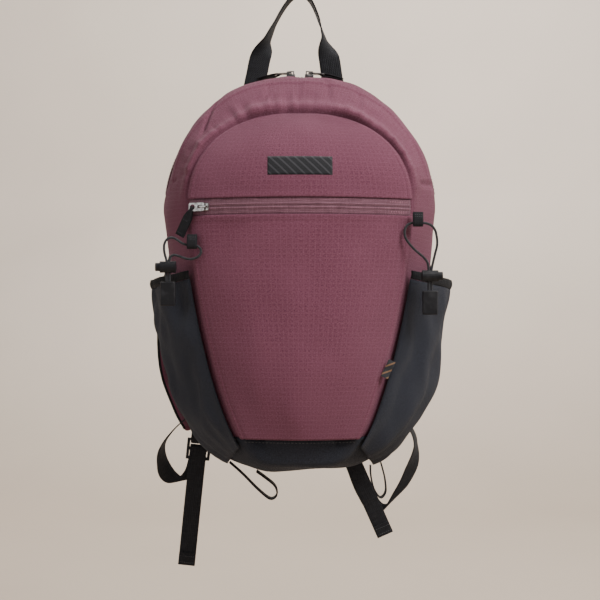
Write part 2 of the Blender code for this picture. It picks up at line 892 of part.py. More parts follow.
def pocket_point(level, depth, side, gusset):
    """A point of a side pocket's outer surface; level counts ring steps up from the bottom."""
    rise = (level - POCKET_LOW) / (POCKET_TOP * LOWER_STEPS - POCKET_LOW)
    base = wall_point(level, depth, gusset)
    point = base + wall_normal(level, depth, gusset) * pocket_lift(depth, rise, side)
    return Vector((point.x * SIDES[side], point.y, point.z))


# ---------------------------------------------------------------- bungee cords

# For each side: the keeper's middle, the lock's middle, the plunger's direction, the cord end's tilt,
# and the loop that the cord makes between the two strands above the lock, outer strand first.
BUNGEE = {
    "left": {
        "keeper": (-0.1080, -0.2845),
        "lock": (-0.1320, -0.3060),
        "press": (-1, 0, 0),
        "loop": [
            (-0.1358, -0.2900),
            (-0.1350, -0.2815),
            (-0.1300, -0.2765),
            (-0.1235, -0.2785),
            (-0.1160, -0.2832),
            (-0.1080, -0.2845),
            (-0.1020, -0.2855),
            (-0.0990, -0.2905),
            (-0.1030, -0.2965),
            (-0.1120, -0.2980),
            (-0.1200, -0.2955),
            (-0.1260, -0.2940),
            (-0.1298, -0.2968),
        ],
    },
    "right": {
        "keeper": (0.1180, -0.2622),
        "lock": (0.1300, -0.3150),
        "press": (1, 0, 0),
        "loop": [
            (0.1345, -0.2950),
            (0.1372, -0.2820),
            (0.1345, -0.2680),
            (0.1270, -0.2626),
            (0.1180, -0.2622),
            (0.1100, -0.2626),
            (0.1050, -0.2680),
            (0.1056, -0.2770),
            (0.1130, -0.2870),
            (0.1220, -0.2950),
            (0.1270, -0.3005),
        ],
    },
}


def bungee_route(facts, side):
    """Up the outer strand from the cord end, round the loop and down the inner strand."""
    x, z = facts["lock"]
    apart = STRAND_APART / 2 * SIDES[side]
    heights = [z - CORD_END_DROP, z - LOCK_RADIUS, z + LOCK_RADIUS]
    rise = [(x + apart, CORD_Y, height) for height in heights]
    fall = [(x - apart, CORD_Y, height) for height in reversed(heights)]
    return rise + [(a, CORD_Y, b) for a, b in facts["loop"]] + fall


def bungee(side, facts):
    """One bungee: keeper tab, cord, sprung cord lock and moulded cord end."""
    points = smooth_route(bungee_route(facts, side), CORD_RADIUS * 4.4)
    tube("bungee_cord_" + side, points, CORD_RADIUS, black_webbing())
    keeper(side, facts)
    press = Vector(facts["press"])
    x, z = facts["lock"]
    middle = Vector((x, CORD_Y, z))
    cord_lock(side, frame_matrix(Vector((0, 1, 0)), press, middle))
    end_z = z - CORD_END_DROP - GAP - CORD_END_SIZE[2] / 2
    place = Matrix.Translation((x, CORD_Y, end_z))
    box("cord_end_" + side, CORD_END_SIZE, black_plastic(), place, 0.0012)


def keeper(side, facts):
    """A tape tab sewn to the front seam and folded round the cord."""
    x, z = facts["keeper"]
    steps = (
        (0.0026, 0.0110),
        (0.0030, 0.0050),
        (0.0030, 0.0),
        (0.0021, -0.0021),
        (0.0, -0.0030),
        (-0.0021, -0.0021),
        (-0.0030, 0.0),
        (-0.0030, 0.0050),
        (-0.0010, 0.0110),
    )
    rows = []
    for y, rise in steps:
        left = (x - KEEPER_WIDTH / 2, CORD_Y + y, z + rise)
        right = (x + KEEPER_WIDTH / 2, CORD_Y + y, z + rise)
        rows.append([left, right])
    sheet("cord_keeper_" + side, rows, black_webbing(), 0.0010, offset=0.0)


def cord_lock(side, place):
    """Barrel with a slot for both strands, a plunger with a longer slot, and the spring behind it."""
    barrel = cylinder("cord_lock_" + side, LOCK_RADIUS, LOCK_LENGTH, black_plastic(), place)
    bore_depth = LOCK_LENGTH - 0.0015
    bore = cylinder(
        "lock_bore_" + side,
        PLUNGER_RADIUS + 0.0003,
        bore_depth + 0.001,
        None,
        place @ Matrix.Translation((0, 0, LOCK_LENGTH / 2 - bore_depth / 2 + 0.0005)),
        20,
        CUTTERS,
    )
    slot = box("lock_slot_" + side, LOCK_SLOT, None, place, 0, CUTTERS)
    boolean(barrel, bore, "DIFFERENCE")
    boolean(barrel, slot, "DIFFERENCE")
    plunger_length = LOCK_LENGTH
    lift = place @ Matrix.Translation((0, 0, 0.0045))
    plunger = cylinder("lock_plunger_" + side, PLUNGER_RADIUS, plunger_length, black_plastic(), lift)
    long_slot = (LOCK_SLOT[0], LOCK_SLOT[1], LOCK_SLOT[2] + PLUNGER_TRAVEL)
    way = box(
        "plunger_slot_" + side,
        long_slot,
        None,
        place @ Matrix.Translation((0, 0, PLUNGER_TRAVEL / 2)),
        0,
        CUTTERS,
    )
    boolean(plunger, way, "DIFFERENCE")
    spring(side, place)


def spring(side, place):
    """A short coil spring between the barrel's floor and the plunger."""
    turns = 3
    per_turn = 8
    low = -LOCK_LENGTH / 2 + 0.0015 + 0.0006
    high = -0.0035 - 0.0007
    points = []
    for k in range(turns * per_turn + 1):
        angle = 2 * math.pi * k / per_turn
        rise = low + (high - low) * k / (turns * per_turn)
        points.append(place @ Vector((0.0030 * math.cos(angle), 0.0030 * math.sin(angle), rise)))
    coil = tube("lock_spring_" + side, points, 0.0003, bright_metal())
    coil.data.bevel_resolution = 0


# ---------------------------------------------------------------- webbing and straps


def haul_loop():
    """The top loop: feet flat behind the bag's top edge, twisted edge-on, over the hook."""
    left, right = HAUL_FEET["left"], HAUL_FEET["right"]
    route = [
        (left, 0.0026, -0.1080),
        (left + 0.001, 0.0026, -0.100),
        (left + 0.004, 0.0026, -0.086),
        (left + 0.010, 0.0015, -0.062),
        (-0.024, 0.0, -0.024),
        (-0.010, 0.0, -0.0035),
        (0.0, 0.0, 0.0008),
        (0.010, 0.0, -0.0035),
        (0.020, 0.0, -0.024),
        (right - 0.007, 0.0015, -0.062),
        (right - 0.003, 0.0026, -0.086),
        (right - 0.001, 0.0026, -0.100),
        (right, 0.0026, -0.1080),
    ]
    flat = (1, 0, 0)
    edge = (0, 1, 0)
    foot = [flat, flat, (1, 0.12, 0), (0.25, 1, 0)]
    across = foot + [edge] * 5 + foot[::-1]
    ribbon("haul_loop", route, across, [HAUL_WIDTH] * 13, WEBBING, black_webbing(), 0.010)


def pole_loops():
    """Webbing loops under the front corners of the base, for walking poles."""
    for side, facts in POLE_LOOPS.items():
        across = [(0, 1, 0)] * len(facts["route"])
        ribbon("pole_loop_" + side, facts["route"], across, facts["widths"], WEBBING, black_webbing())


def shoulder_strap(side, route):
    """A padded strap down from the yoke, lying in the plane behind the back."""
    sign = SIDES[side]
    points = [(x * sign, y, z) for x, y, z in route]
    ribbon("shoulder_strap_" + side, points, None, STRAP_WIDTHS, STRAP_THICKNESS, black_cloth(), 0.022)


def ladder_lock(side, middle, turn):
    """Three-bar adjuster, the tape that ties it to the strap, and the free tail of webbing."""
    place = Matrix.Translation(middle) @ Matrix.Rotation(turn, 4, "Y")
    frame = box("ladder_lock_" + side, LADDER_SIZE, black_plastic(), place, 0.0008)
    for k, height in enumerate(LADDER_SLOTS):
        middle_of_slot = place @ Matrix.Translation((0, 0, height))
        slot = box("ladder_slot_%s_%d" % (side, k), LADDER_SLOT_SIZE, None, middle_of_slot, 0, CUTTERS)
        boolean(frame, slot, "DIFFERENCE")
    folded("strap_tip_web_" + side, place, TIP_STEPS)
    folded("strap_tail_" + side, place, TAIL_TOP_STEPS + [(y, z) for y, z in TAIL_DROP[side]])


def folded(name, place, steps):
    """Webbing whose width lies along the adjuster's bars, through the given (y, z) steps."""
    half = WEB_WIDTH / 2
    rows = [[place @ Vector((-half, y, z)), place @ Vector((half, y, z))] for y, z in steps]
    return sheet(name, rows, black_webbing(), 0.0013, offset=0.0)


def straps():
    """Both shoulder straps with their adjusters and the webbing that ties them to the base."""
    for side in SIDES:
        shoulder_strap(side, STRAP_ROUTES[side])
        ladder_lock(side, Vector(LADDER_PLACES[side]), math.radians(LADDER_TURNS[side]))
        facts = ANCHORS[side]
        widths = [WEB_WIDTH] * len(facts["route"])
        name = "anchor_webbing_" + side
        ribbon(name, facts["route"], facts["across"], widths, 0.0013, black_webbing())


def main():
    """Build every piece."""
    clear_scene()
    rear = rear_ring()
    face = front_ring()
    gusset = [gusset_ring(depth, rear, face) for depth in DEPTH_STEPS]
    bag(gusset, face)
    back()
    front()
    main_zip()
    patch("label_patch", (0, LABEL_Z), LABEL_SIZE, 0, black_webbing(), 0.0008)
    zips()
    side_pockets(gusset)
    for side, facts in BUNGEE.items():
        bungee(side, facts)
    haul_loop()
    pole_loops()
    straps()


main()
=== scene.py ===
"""Detailed visual model of a small hiking daypack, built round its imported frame.

Metres, +Z up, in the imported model's own frame. The front of the pack faces -Y, the wearer's back +Y.
Left and right are those of someone who looks at the front of the pack.
"""

import math

import bmesh
import bpy
from mathutils import Matrix, Vector, noise
from mathutils.geometry import interpolate_bezier


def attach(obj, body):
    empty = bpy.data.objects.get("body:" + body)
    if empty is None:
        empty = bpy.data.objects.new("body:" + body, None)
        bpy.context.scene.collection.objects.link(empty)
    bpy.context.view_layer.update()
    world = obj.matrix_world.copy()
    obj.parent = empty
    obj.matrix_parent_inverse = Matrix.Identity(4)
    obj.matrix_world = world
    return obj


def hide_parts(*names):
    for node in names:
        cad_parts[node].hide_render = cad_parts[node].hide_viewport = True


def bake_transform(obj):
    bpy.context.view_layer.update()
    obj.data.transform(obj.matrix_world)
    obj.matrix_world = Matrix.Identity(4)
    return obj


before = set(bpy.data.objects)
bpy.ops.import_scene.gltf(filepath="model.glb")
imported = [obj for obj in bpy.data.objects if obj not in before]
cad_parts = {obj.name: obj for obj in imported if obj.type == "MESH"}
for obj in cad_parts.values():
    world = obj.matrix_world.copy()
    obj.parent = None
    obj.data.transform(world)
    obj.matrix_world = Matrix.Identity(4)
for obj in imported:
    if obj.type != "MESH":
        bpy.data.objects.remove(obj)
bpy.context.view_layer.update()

# Clearances and cloth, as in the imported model
GAP = 0.0003
CLOTH = 0.0015
SIDES = {"left": -1, "right": 1}

# Bag outlines
HALF_WIDTH = 0.145
BASE_Z = -0.520
ARCH_Z = -0.245
SIDE_TAPER = 0.08
REAR_POWER = 4.0
BACK_Y = -0.0125
REAR_TUCK = 0.12
SHOULDER = 0.006
SHOULDER_DEPTH = 0.4
FRONT_HALF_WIDTH = 0.113
FRONT_TOP_Z = -0.149
FRONT_BASE_Z = -0.508
FRONT_TAPER = 0.044
FRONT_TAPER_DEPTH = 0.227
FRONT_POWER = 6.0
FRONT_ARCH_POWER = 2.3
SEAM_Y = -0.115
ARCH_LEAN = 0.015
CROWN = 0.030
CROWN_POWER = 4.0
ARCH_CROWN_POWER = 3.0
BASE_SEAM_Z = -0.479
POCKET_DEPTH = 0.008
POCKET_GAP = 0.0028
FRONT_CENTRE_Z = -0.330
LOWER_STEPS = 14
FINE_STEPS = 280
MIDDLE_Z = -0.31

# Back
BACK_PANEL = 0.012
LUMBAR_SIZE = (0.090, 0.008, 0.090)
LUMBAR_Z = -0.400
YOKE_SIZE = (0.120, 0.004, 0.030)
YOKE_Z = -0.124

# Zips
ZIP_Z = -0.246
ZIP_HALF = 0.008
ZIP_SPAN = 0.1105
ZIP_RADIUS = (FRONT_HALF_WIDTH ** 2 + CROWN ** 2) / (2 * CROWN)
ZIP_AXIS_Y = SEAM_Y - CROWN + ZIP_RADIUS
FRONT_SLIDER_ANGLE = math.radians(-24.5)
MAIN_ZIP_Y = (-0.034, -0.018)
MAIN_ZIP_RADIUS = 0.1462
MAIN_ZIP_SPAN = math.radians(82)
MAIN_ZIP_TAPE = 0.0012
MAIN_SLIDER_ANGLE = math.radians(3.8)
PULLER_LEVEL = 0.0048
PULL_HOLE_X = 0.0122
PULL_LENGTH = 0.032

# Side pockets
POCKET_LOW = 3 / LOWER_STEPS
POCKET_TOP = 0.775
POCKET_BULGES = {"left": (0.015, 0.015), "right": (0.022, 0.016)}
POCKET_FILL = {"left": 1.15, "right": 1.7}
POCKET_LIFT = 0.0040
POCKET_REAR = 0.05
POCKET_SPAN = 0.91

# Label
LABEL_SIZE = (0.064, 0.0187)
LABEL_Z = -0.2065

# Bungee cords
CORD_RADIUS = 0.00125
CORD_Y = -0.1255
STRAND_APART = 0.0029
CORD_END_DROP = 0.0145
LOCK_RADIUS = 0.0058
KEEPER_WIDTH = 0.010

# Webbing
HAUL_WIDTH = 0.024
WEB_WIDTH = 0.019
HAUL_FEET = {"left": -0.052, "right": 0.038}


# ---------------------------------------------------------------- curves and outlines


def evenly(points, count):
    """count + 1 points at equal distances along a line of points."""
    steps = [(b - a).length for a, b in zip(points, points[1:])]
    spacing = sum(steps) / count
    found = [points[0]]
    travelled = 0.0
    for start, stop, step in zip(points, points[1:], steps):
        while len(found) < count and travelled + step >= spacing * len(found):
            part = (spacing * len(found) - travelled) / step
            found.append(start.lerp(stop, part))
        travelled += step
    return found + [points[-1]]


def smooth_route(points, spacing):
    """Points a fixed distance apart on a smooth curve through the route's own points."""
    points = [Vector(p) for p in points]
    ends = [2 * points[0] - points[1]] + points + [2 * points[-1] - points[-2]]
    dense = []
    for before, start, stop, after in zip(ends, ends[1:], ends[2:], ends[3:]):
        lead = start + (stop - before) / 6
        trail = stop - (after - start) / 6
        dense += interpolate_bezier(start, lead, trail, stop, 24)[:-1]
    dense.append(points[-1])
    length = sum((b - a).length for a, b in zip(dense, dense[1:]))
    return evenly(dense, max(2, round(length / spacing)))


def ease(value, low, high):
    """0 below low, 1 above high, and a smooth rise between them."""
    part = min(max((value - low) / (high - low), 0.0), 1.0)
    return part * part * (3 - 2 * part)


def ridge(value, middle, half):
    """A smooth bump of height 1 at the middle, and 0 further away than half."""
    return ease(half - abs(value - middle), 0.0, half)


def ruffle(point, size, seed=0.0):
    """Smooth noise from about -1 to 1, with bumps of about the given size."""
    return noise.noise(Vector(point) / size + Vector((seed, seed * 1.7, seed * 0.6)))


def front_side(drop):
    """Half-width of the front outline at a distance below the zip, before the bottom curve."""
    return FRONT_HALF_WIDTH - FRONT_TAPER * (max(drop, 0) / FRONT_TAPER_DEPTH) ** 1.5


def low_quarter(side_at, depth, power, level):
    """Points from the bottom centre up to the widest level on the +X side."""
    points = []
    for step in range(FINE_STEPS + 1):
        turn = math.radians(90) * step / FINE_STEPS
        drop = depth * max(math.cos(turn), 0) ** (2 / power)
        points.append(Vector((side_at(drop) * math.sin(turn) ** (2 / power), level - drop)))
    return evenly(points, FINE_STEPS)


def high_quarter(width, height, power, level):
    """Points from the widest level up to the top centre on the +X side."""
    points = []
    for step in range(FINE_STEPS + 1):
        turn = math.radians(90) * step / FINE_STEPS
        reach = width * max(math.cos(turn), 0) ** (2 / power)
        points.append(Vector((reach, level + height * math.sin(turn) ** (2 / power))))
    return evenly(points, FINE_STEPS)


REAR = (
    low_quarter(lambda drop: HALF_WIDTH - SIDE_TAPER * drop, ARCH_Z - BASE_Z, REAR_POWER, ARCH_Z),
    high_quarter(HALF_WIDTH, HALF_WIDTH, 2, ARCH_Z),
)
FACE = (
    low_quarter(front_side, ZIP_Z - FRONT_BASE_Z, FRONT_POWER, ZIP_Z),
    high_quarter(FRONT_HALF_WIDTH, FRONT_TOP_Z - ZIP_Z, FRONT_ARCH_POWER, ZIP_Z),
)


def outline(quarters, place):
    """A point of an outline: place 0 is the bottom, 1 the widest level and 2 the top; below 0 is -X."""
    if place > 2:
        place -= 4
    if place < -2:
        place += 4
    reach = abs(place)
    points = quarters[0] if reach < 1 else quarters[1]
    at = (reach if reach < 1 else reach - 1) * FINE_STEPS
    low = min(int(at), FINE_STEPS - 1)
    found = points[low].lerp(points[low + 1], at - low)
    return Vector((math.copysign(found.x, place), found.y))


def front_half_width(z):
    """Half-width of the front outline at a height."""
    if z > ZIP_Z:
        rise = min((z - ZIP_Z) / (FRONT_TOP_Z - ZIP_Z), 1)
        return FRONT_HALF_WIDTH * (1 - rise ** FRONT_ARCH_POWER) ** (1 / FRONT_ARCH_POWER)
    drop = ZIP_Z - z
    fall = min(drop / (ZIP_Z - FRONT_BASE_Z), 1)
    return front_side(drop) * (1 - fall ** FRONT_POWER) ** (1 / FRONT_POWER)


def seam_depth(z):
    """Y of the front seam at a height; the arch leans back towards its top."""
    rise = max(z - ZIP_Z, 0) / (FRONT_TOP_Z - ZIP_Z)
    return SEAM_Y + ARCH_LEAN * min(rise, 1) ** 2


def crown(z):
    """How far the middle of the front stands proud of its seam at a height."""
    if z > ZIP_Z:
        return CROWN * (1 - min((z - ZIP_Z) / (FRONT_TOP_Z - ZIP_Z), 1) ** ARCH_CROWN_POWER)
    return CROWN * (1 - min((ZIP_Z - z) / (ZIP_Z - FRONT_BASE_Z), 1) ** CROWN_POWER)


def front_depth(x, z):
    """Y of the smooth front surface: a circular arc across the width at every height."""
    half = front_half_width(z)
    height = crown(z)
    if height < 1e-4 or half < 1e-4:
        return seam_depth(z)
    radius = (half ** 2 + height ** 2) / (2 * height)
    reach = min(abs(x), half)
    return seam_depth(z) - (math.sqrt(radius ** 2 - reach ** 2) - (radius - height))


def gusset_blend(depth):
    """How far the side wall has moved from the rear outline to the front one, from 0 to 1."""
    if depth <= 0.25:
        return REAR_TUCK * (1 - depth / 0.25) ** 2
    return ((depth - 0.25) / 0.75) ** 1.7


def shoulder(flat, depth):
    """How far the arch's shoulders stand out beyond the round rear outline."""
    rise = flat.y - ARCH_Z
    if rise <= 0:
        return Vector((0, 0))
    turn = math.atan2(rise, abs(flat.x)) / math.radians(90)
    if depth < SHOULDER_DEPTH:
        fade = max(depth - 0.25, 0) / (SHOULDER_DEPTH - 0.25)
    else:
        fade = (1 - depth) / (1 - SHOULDER_DEPTH)
    return Vector((flat.x, rise)).normalized() * SHOULDER * fade * math.sin(math.pi * turn ** 1.6)


def wall(place, depth):
    """A point of the smooth side wall; depth runs from 0 at the back to 1 at the front seam."""
    flat = outline(REAR, place).lerp(outline(FACE, place), gusset_blend(depth))
    flat += shoulder(flat, depth)
    rim = seam_depth(outline(FACE, place).y) + CLOTH + POCKET_GAP
    return Vector((flat.x, BACK_Y + (rim - BACK_Y) * depth, flat.y))


def wall_normal(place, depth):
    """Outward direction of the side wall."""
    up = wall(place + 0.02, depth) - wall(place - 0.02, depth)
    forward = wall(place, min(depth + 0.06, 1.0)) - wall(place, max(depth - 0.06, 0.0))
    out = up.cross(forward).normalized()
    middle = wall(place, depth)
    return out if out.dot(Vector((middle.x, 0, middle.z - MIDDLE_Z))) > 0 else -out


# ---------------------------------------------------------------- materials


def add_node(tree, kind, values=None, **settings):
    """A new node with its input values and its own settings."""
    made = tree.nodes.new(kind)
    for key, value in settings.items():
        setattr(made, key, value)
    for key, value in (values or {}).items():
        made.inputs[key].default_value = value
    return made


def new_material(name, metallic=0.0, sheen=0.0, gloss=0.18):
    """An empty Principled material: its node tree and its shader."""
    made = bpy.data.materials.new(name)
    made.use_nodes = True
    shader = made.node_tree.nodes["Principled BSDF"]
    shader.inputs["Metallic"].default_value = metallic
    shader.inputs["Sheen Weight"].default_value = sheen
    shader.inputs["Sheen Roughness"].default_value = 0.6
    shader.inputs["Specular IOR Level"].default_value = 0.5 if metallic else gloss
    return made, made.node_tree, shader


def uv_metres(tree, scale):
    """The piece's own cloth coordinates, across and along the threads, times a scale."""
    source = add_node(tree, "ShaderNodeUVMap", uv_map="weave")
    mapping = add_node(tree, "ShaderNodeMapping", {"Scale": scale})
    tree.links.new(source.outputs["UV"], mapping.inputs["Vector"])
    return mapping.outputs["Vector"]


def object_metres(tree, scale=(1, 1, 1)):
    """Coordinates in the pack's own frame, times a scale."""
    source = add_node(tree, "ShaderNodeTexCoord")
    mapping = add_node(tree, "ShaderNodeMapping", {"Scale": scale})
    tree.links.new(source.outputs["Object"], mapping.inputs["Vector"])
    return mapping.outputs["Vector"]


def noise_at(tree, coords, scale, detail=3.0):
    """Smooth noise from 0 to 1."""
    made = add_node(tree, "ShaderNodeTexNoise", {"Scale": scale, "Detail": detail})
    tree.links.new(coords, made.inputs["Vector"])
    return made.outputs["Fac"]


def bands(tree, coords, scale, direction):
    """Soft parallel bands, as many to the metre as 3.18 times the scale."""
    made = add_node(tree, "ShaderNodeTexWave", {"Scale": scale}, bands_direction=direction)
    tree.links.new(coords, made.inputs["Vector"])
    return made.outputs["Fac"]


def ramp(tree, source, stops):
    """Colours at places from 0 to 1 along the source."""
    made = add_node(tree, "ShaderNodeValToRGB")
    band = made.color_ramp
    while len(band.elements) < len(stops):
        band.elements.new(0.5)
    for element, (place, colour) in zip(band.elements, stops):
        element.position = place
        element.color = (*colour, 1)
    tree.links.new(source, made.inputs["Fac"])
    return made.outputs["Color"]


def grey(low, high):
    """Two ramp stops, from one grey to another."""
    return [(0.3, (low,) * 3), (0.7, (high,) * 3)]


def blend(tree, fac, first, second, mode="MIX"):
    """Two colours mixed; each may be a number from 0 to 1, a colour or an output."""
    made = add_node(tree, "ShaderNodeMix", data_type="RGBA", blend_type=mode)
    for socket, value in ((made.inputs[0], fac), (made.inputs[6], first), (made.inputs[7], second)):
        if isinstance(value, bpy.types.NodeSocket):
            tree.links.new(value, socket)
        elif isinstance(value, tuple):
            socket.default_value = (*value, 1)
        else:
            socket.default_value = value
    return made.outputs[2]


def relief(tree, shader, layers):
    """Bump nodes in a chain, one for each (height, strength, distance)."""
    before = None
    for height, strength, distance in layers:
        made = add_node(tree, "ShaderNodeBump", {"Strength": strength, "Distance": distance})
        tree.links.new(height, made.inputs["Height"])
        if before:
            tree.links.new(before.outputs["Normal"], made.inputs["Normal"])
        before = made
    tree.links.new(before.outputs["Normal"], shader.inputs["Normal"])


def plain_weave(tree, coords, threads):
    """Height of a plain weave with so many threads to the metre."""
    scale = threads / 3.18
    warp = bands(tree, coords, scale, "X")
    weft = bands(tree, coords, scale, "Y")
    check = add_node(tree, "ShaderNodeTexChecker", {"Scale": threads})
    tree.links.new(coords, check.inputs["Vector"])
    return blend(tree, check.outputs["Fac"], warp, weft)


def thread_tint(tree, slim, long):
    """Uneven dye along the threads of both directions, as a grey from 0 to 1."""
    warp = noise_at(tree, uv_metres(tree, (slim, long, 1)), 1.0, 2.0)
    weft = noise_at(tree, uv_metres(tree, (long, slim, 1)), 1.0, 2.0)
    return blend(tree, 0.5, warp, weft)


def woven_cloth(name, dark, middle, light, threads, sheen=0.25, grid=0.0, rough=(0.72, 0.95)):
    """Heathered woven cloth with painted shade in the weave's crevices, dusty patches, and a faint ripstop
    grid if grid is above 0.
    """
    made, tree, shader = new_material(name, sheen=sheen)
    coords = uv_metres(tree, (1, 1, 1))
    weave = plain_weave(tree, coords, threads)
    tint = thread_tint(tree, 1700, 480)
    colour = ramp(tree, tint, [(0.36, dark), (0.5, middle), (0.64, light)])
    # Painted shade: the colour is darkened where the weave's height is low, in the crevices between its
    # threads.
    colour = blend(tree, 0.30, colour, weave, "MULTIPLY")
    weft_lines = ramp(tree, bands(tree, coords, 290, "Y"), [(0.2, (0.72, 0.72, 0.72)), (0.8, (1, 1, 1))])
    colour = blend(tree, 0.5, colour, weft_lines, "MULTIPLY")
    if grid:
        lines = blend(tree, 1.0, bands(tree, coords, 64, "X"), bands(tree, coords, 64, "Y"), "LIGHTEN")
        fine = ramp(tree, lines, [(0.93, (0, 0, 0)), (0.99, (grid, grid, grid))])
        colour = blend(tree, fine, colour, light)
    patches = noise_at(tree, object_metres(tree), 11.0, 4.0)
    dust = ramp(tree, patches, [(0.45, (0, 0, 0)), (0.75, (0.22, 0.22, 0.22))])
    colour = blend(tree, dust, colour, light)
    tree.links.new(colour, shader.inputs["Base Color"])
    tree.links.new(ramp(tree, tint, grey(*rough)), shader.inputs["Roughness"])
    relief(tree, shader, [(patches, 0.25, 0.002), (tint, 0.5, 0.0004), (weave, 0.8, 0.0004)])
    return made


def webbing_cloth(name, dark, light):
    """Webbing with a herringbone face: slanting ribs that turn at every rib's edge."""
    made, tree, shader = new_material(name, sheen=0.03)
    coords = uv_metres(tree, (1, 1, 1))
    slant = uv_metres(tree, (1, 1.6, 1))
    ribs = add_node(tree, "ShaderNodeTexWave", {"Scale": 220.0}, bands_direction="DIAGONAL")
    tree.links.new(slant, ribs.inputs["Vector"])
    rows = bands(tree, coords, 150, "X")
    face = blend(tree, 0.5, ribs.outputs["Fac"], rows)
    tint = thread_tint(tree, 700, 90)
    colour = ramp(tree, tint, [(0.35, dark), (0.68, light)])
    colour = blend(tree, 0.35, colour, face, "MULTIPLY")
    fuzz = ramp(tree, noise_at(tree, object_metres(tree), 60.0), [(0.5, (0, 0, 0)), (0.8, (0.3, 0.3, 0.3))])
    colour = blend(tree, fuzz, colour, light)
    tree.links.new(colour, shader.inputs["Base Color"])
    tree.links.new(ramp(tree, face, grey(0.62, 0.86)), shader.inputs["Roughness"])
    relief(tree, shader, [(tint, 0.4, 0.0003), (face, 0.9, 0.0005)])
    return made


def open_mesh(name, dark, light, cells, depth):
    """Knitted mesh: small round cells with darker holes."""
    made, tree, shader = new_material(name, sheen=0.15)
    coords = object_metres(tree, (1, 1, 1))
    cell = add_node(tree, "ShaderNodeTexVoronoi", {"Scale": cells, "Randomness": 0.35})
    tree.links.new(coords, cell.inputs["Vector"])
    holes = ramp(tree, cell.outputs["Distance"], [(0.12, (0, 0, 0)), (0.42, (1, 1, 1))])
    wear = noise_at(tree, coords, 16.0, 4.0)
    colour = blend(tree, holes, dark, light)
    colour = blend(tree, 0.35, colour, ramp(tree, wear, grey(0.4, 1.0)), "MULTIPLY")
    tree.links.new(colour, shader.inputs["Base Color"])
    tree.links.new(ramp(tree, wear, grey(0.70, 0.95)), shader.inputs["Roughness"])
    relief(tree, shader, [(wear, 0.2, 0.001), (holes, 0.9, depth)])
    return made


def moulded_plastic(name, colour, scuffed, rough):
    """Moulded plastic: fine grain, soft mottling, and paler scuffs."""
    made, tree, shader = new_material(name)
    coords = object_metres(tree)
    grain = noise_at(tree, coords, 1800.0, 2.0)
    mottle = noise_at(tree, coords, 90.0, 5.0)
    scuffs = ramp(tree, mottle, [(0.52, (0, 0, 0)), (0.78, (0.7, 0.7, 0.7))])
    tree.links.new(blend(tree, scuffs, colour, scuffed), shader.inputs["Base Color"])
    tree.links.new(ramp(tree, mottle, grey(rough, rough + 0.22)), shader.inputs["Roughness"])
    relief(tree, shader, [(mottle, 0.15, 0.0004), (grain, 0.35, 0.0001)])
    return made


def worn_metal(name, colour, dull):
    """Plated metal, duller where it has worn."""
    made, tree, shader = new_material(name, metallic=1.0)
    coords = object_metres(tree)
    wear = noise_at(tree, coords, 240.0, 6.0)
    tree.links.new(ramp(tree, wear, [(0.4, colour), (0.7, dull)]), shader.inputs["Base Color"])
    tree.links.new(ramp(tree, wear, grey(0.22, 0.5)), shader.inputs["Roughness"])
    relief(tree, shader, [(wear, 0.2, 0.0001)])
    return made


def zip_cloth(name, dark, light):
    """Zip tape: fine bricks, as the knitted-in coil shows through the tape."""
    made, tree, shader = new_material(name, sheen=0.15)
    coords = uv_metres(tree, (1, 1, 1))
    values = {"Scale": 1.0, "Brick Width": 0.0026, "Row Height": 0.0012, "Mortar Size": 0.00022}
    values["Color1"] = (1, 1, 1, 1)
    values["Color2"] = (0.82, 0.82, 0.82, 1)
    values["Mortar"] = (0, 0, 0, 1)
    bricks = add_node(tree, "ShaderNodeTexBrick", values)
    tree.links.new(coords, bricks.inputs["Vector"])
    tint = thread_tint(tree, 900, 80)
    colour = ramp(tree, tint, [(0.36, dark), (0.64, light)])
    colour = blend(tree, 0.55, colour, bricks.outputs["Color"], "MULTIPLY")
    tree.links.new(colour, shader.inputs["Base Color"])
    tree.links.new(ramp(tree, tint, grey(0.65, 0.88)), shader.inputs["Roughness"])
    relief(tree, shader, [(tint, 0.3, 0.0003), (bricks.outputs["Color"], 0.8, 0.0005)])
    return made


def twisted_thread(name, dark, light):
    """Sewing thread, twisted, with a slight shine."""
    made, tree, shader = new_material(name, sheen=0.2)
    coords = object_metres(tree)
    strands = bands(tree, coords, 900, "DIAGONAL")
    tint = noise_at(tree, coords, 300.0)
    colour = ramp(tree, tint, [(0.35, dark), (0.65, light)])
    tree.links.new(blend(tree, 0.4, colour, strands, "MULTIPLY"), shader.inputs["Base Color"])
    tree.links.new(ramp(tree, tint, grey(0.45, 0.7)), shader.inputs["Roughness"])
    relief(tree, shader, [(strands, 0.6, 0.0002)])
    return made


def braided_cord(name, dark, light):
    """Elastic cord with a braided sleeve: crossing slants round the cord."""
    made, tree, shader = new_material(name, sheen=0.15)
    coords = object_metres(tree)
    lean = object_metres(tree, (1, 1, -1))
    first = bands(tree, coords, 420, "DIAGONAL")
    second = bands(tree, lean, 420, "DIAGONAL")
    braid = blend(tree, 1.0, first, second, "LIGHTEN")
    tint = noise_at(tree, coords, 220.0)
    colour = blend(tree, 0.5, ramp(tree, tint, [(0.35, dark), (0.7, light)]), braid, "MULTIPLY")
    tree.links.new(colour, shader.inputs["Base Color"])
    tree.links.new(ramp(tree, tint, grey(0.55, 0.8)), shader.inputs["Roughness"])
    relief(tree, shader, [(braid, 0.8, 0.0003)])
    return made


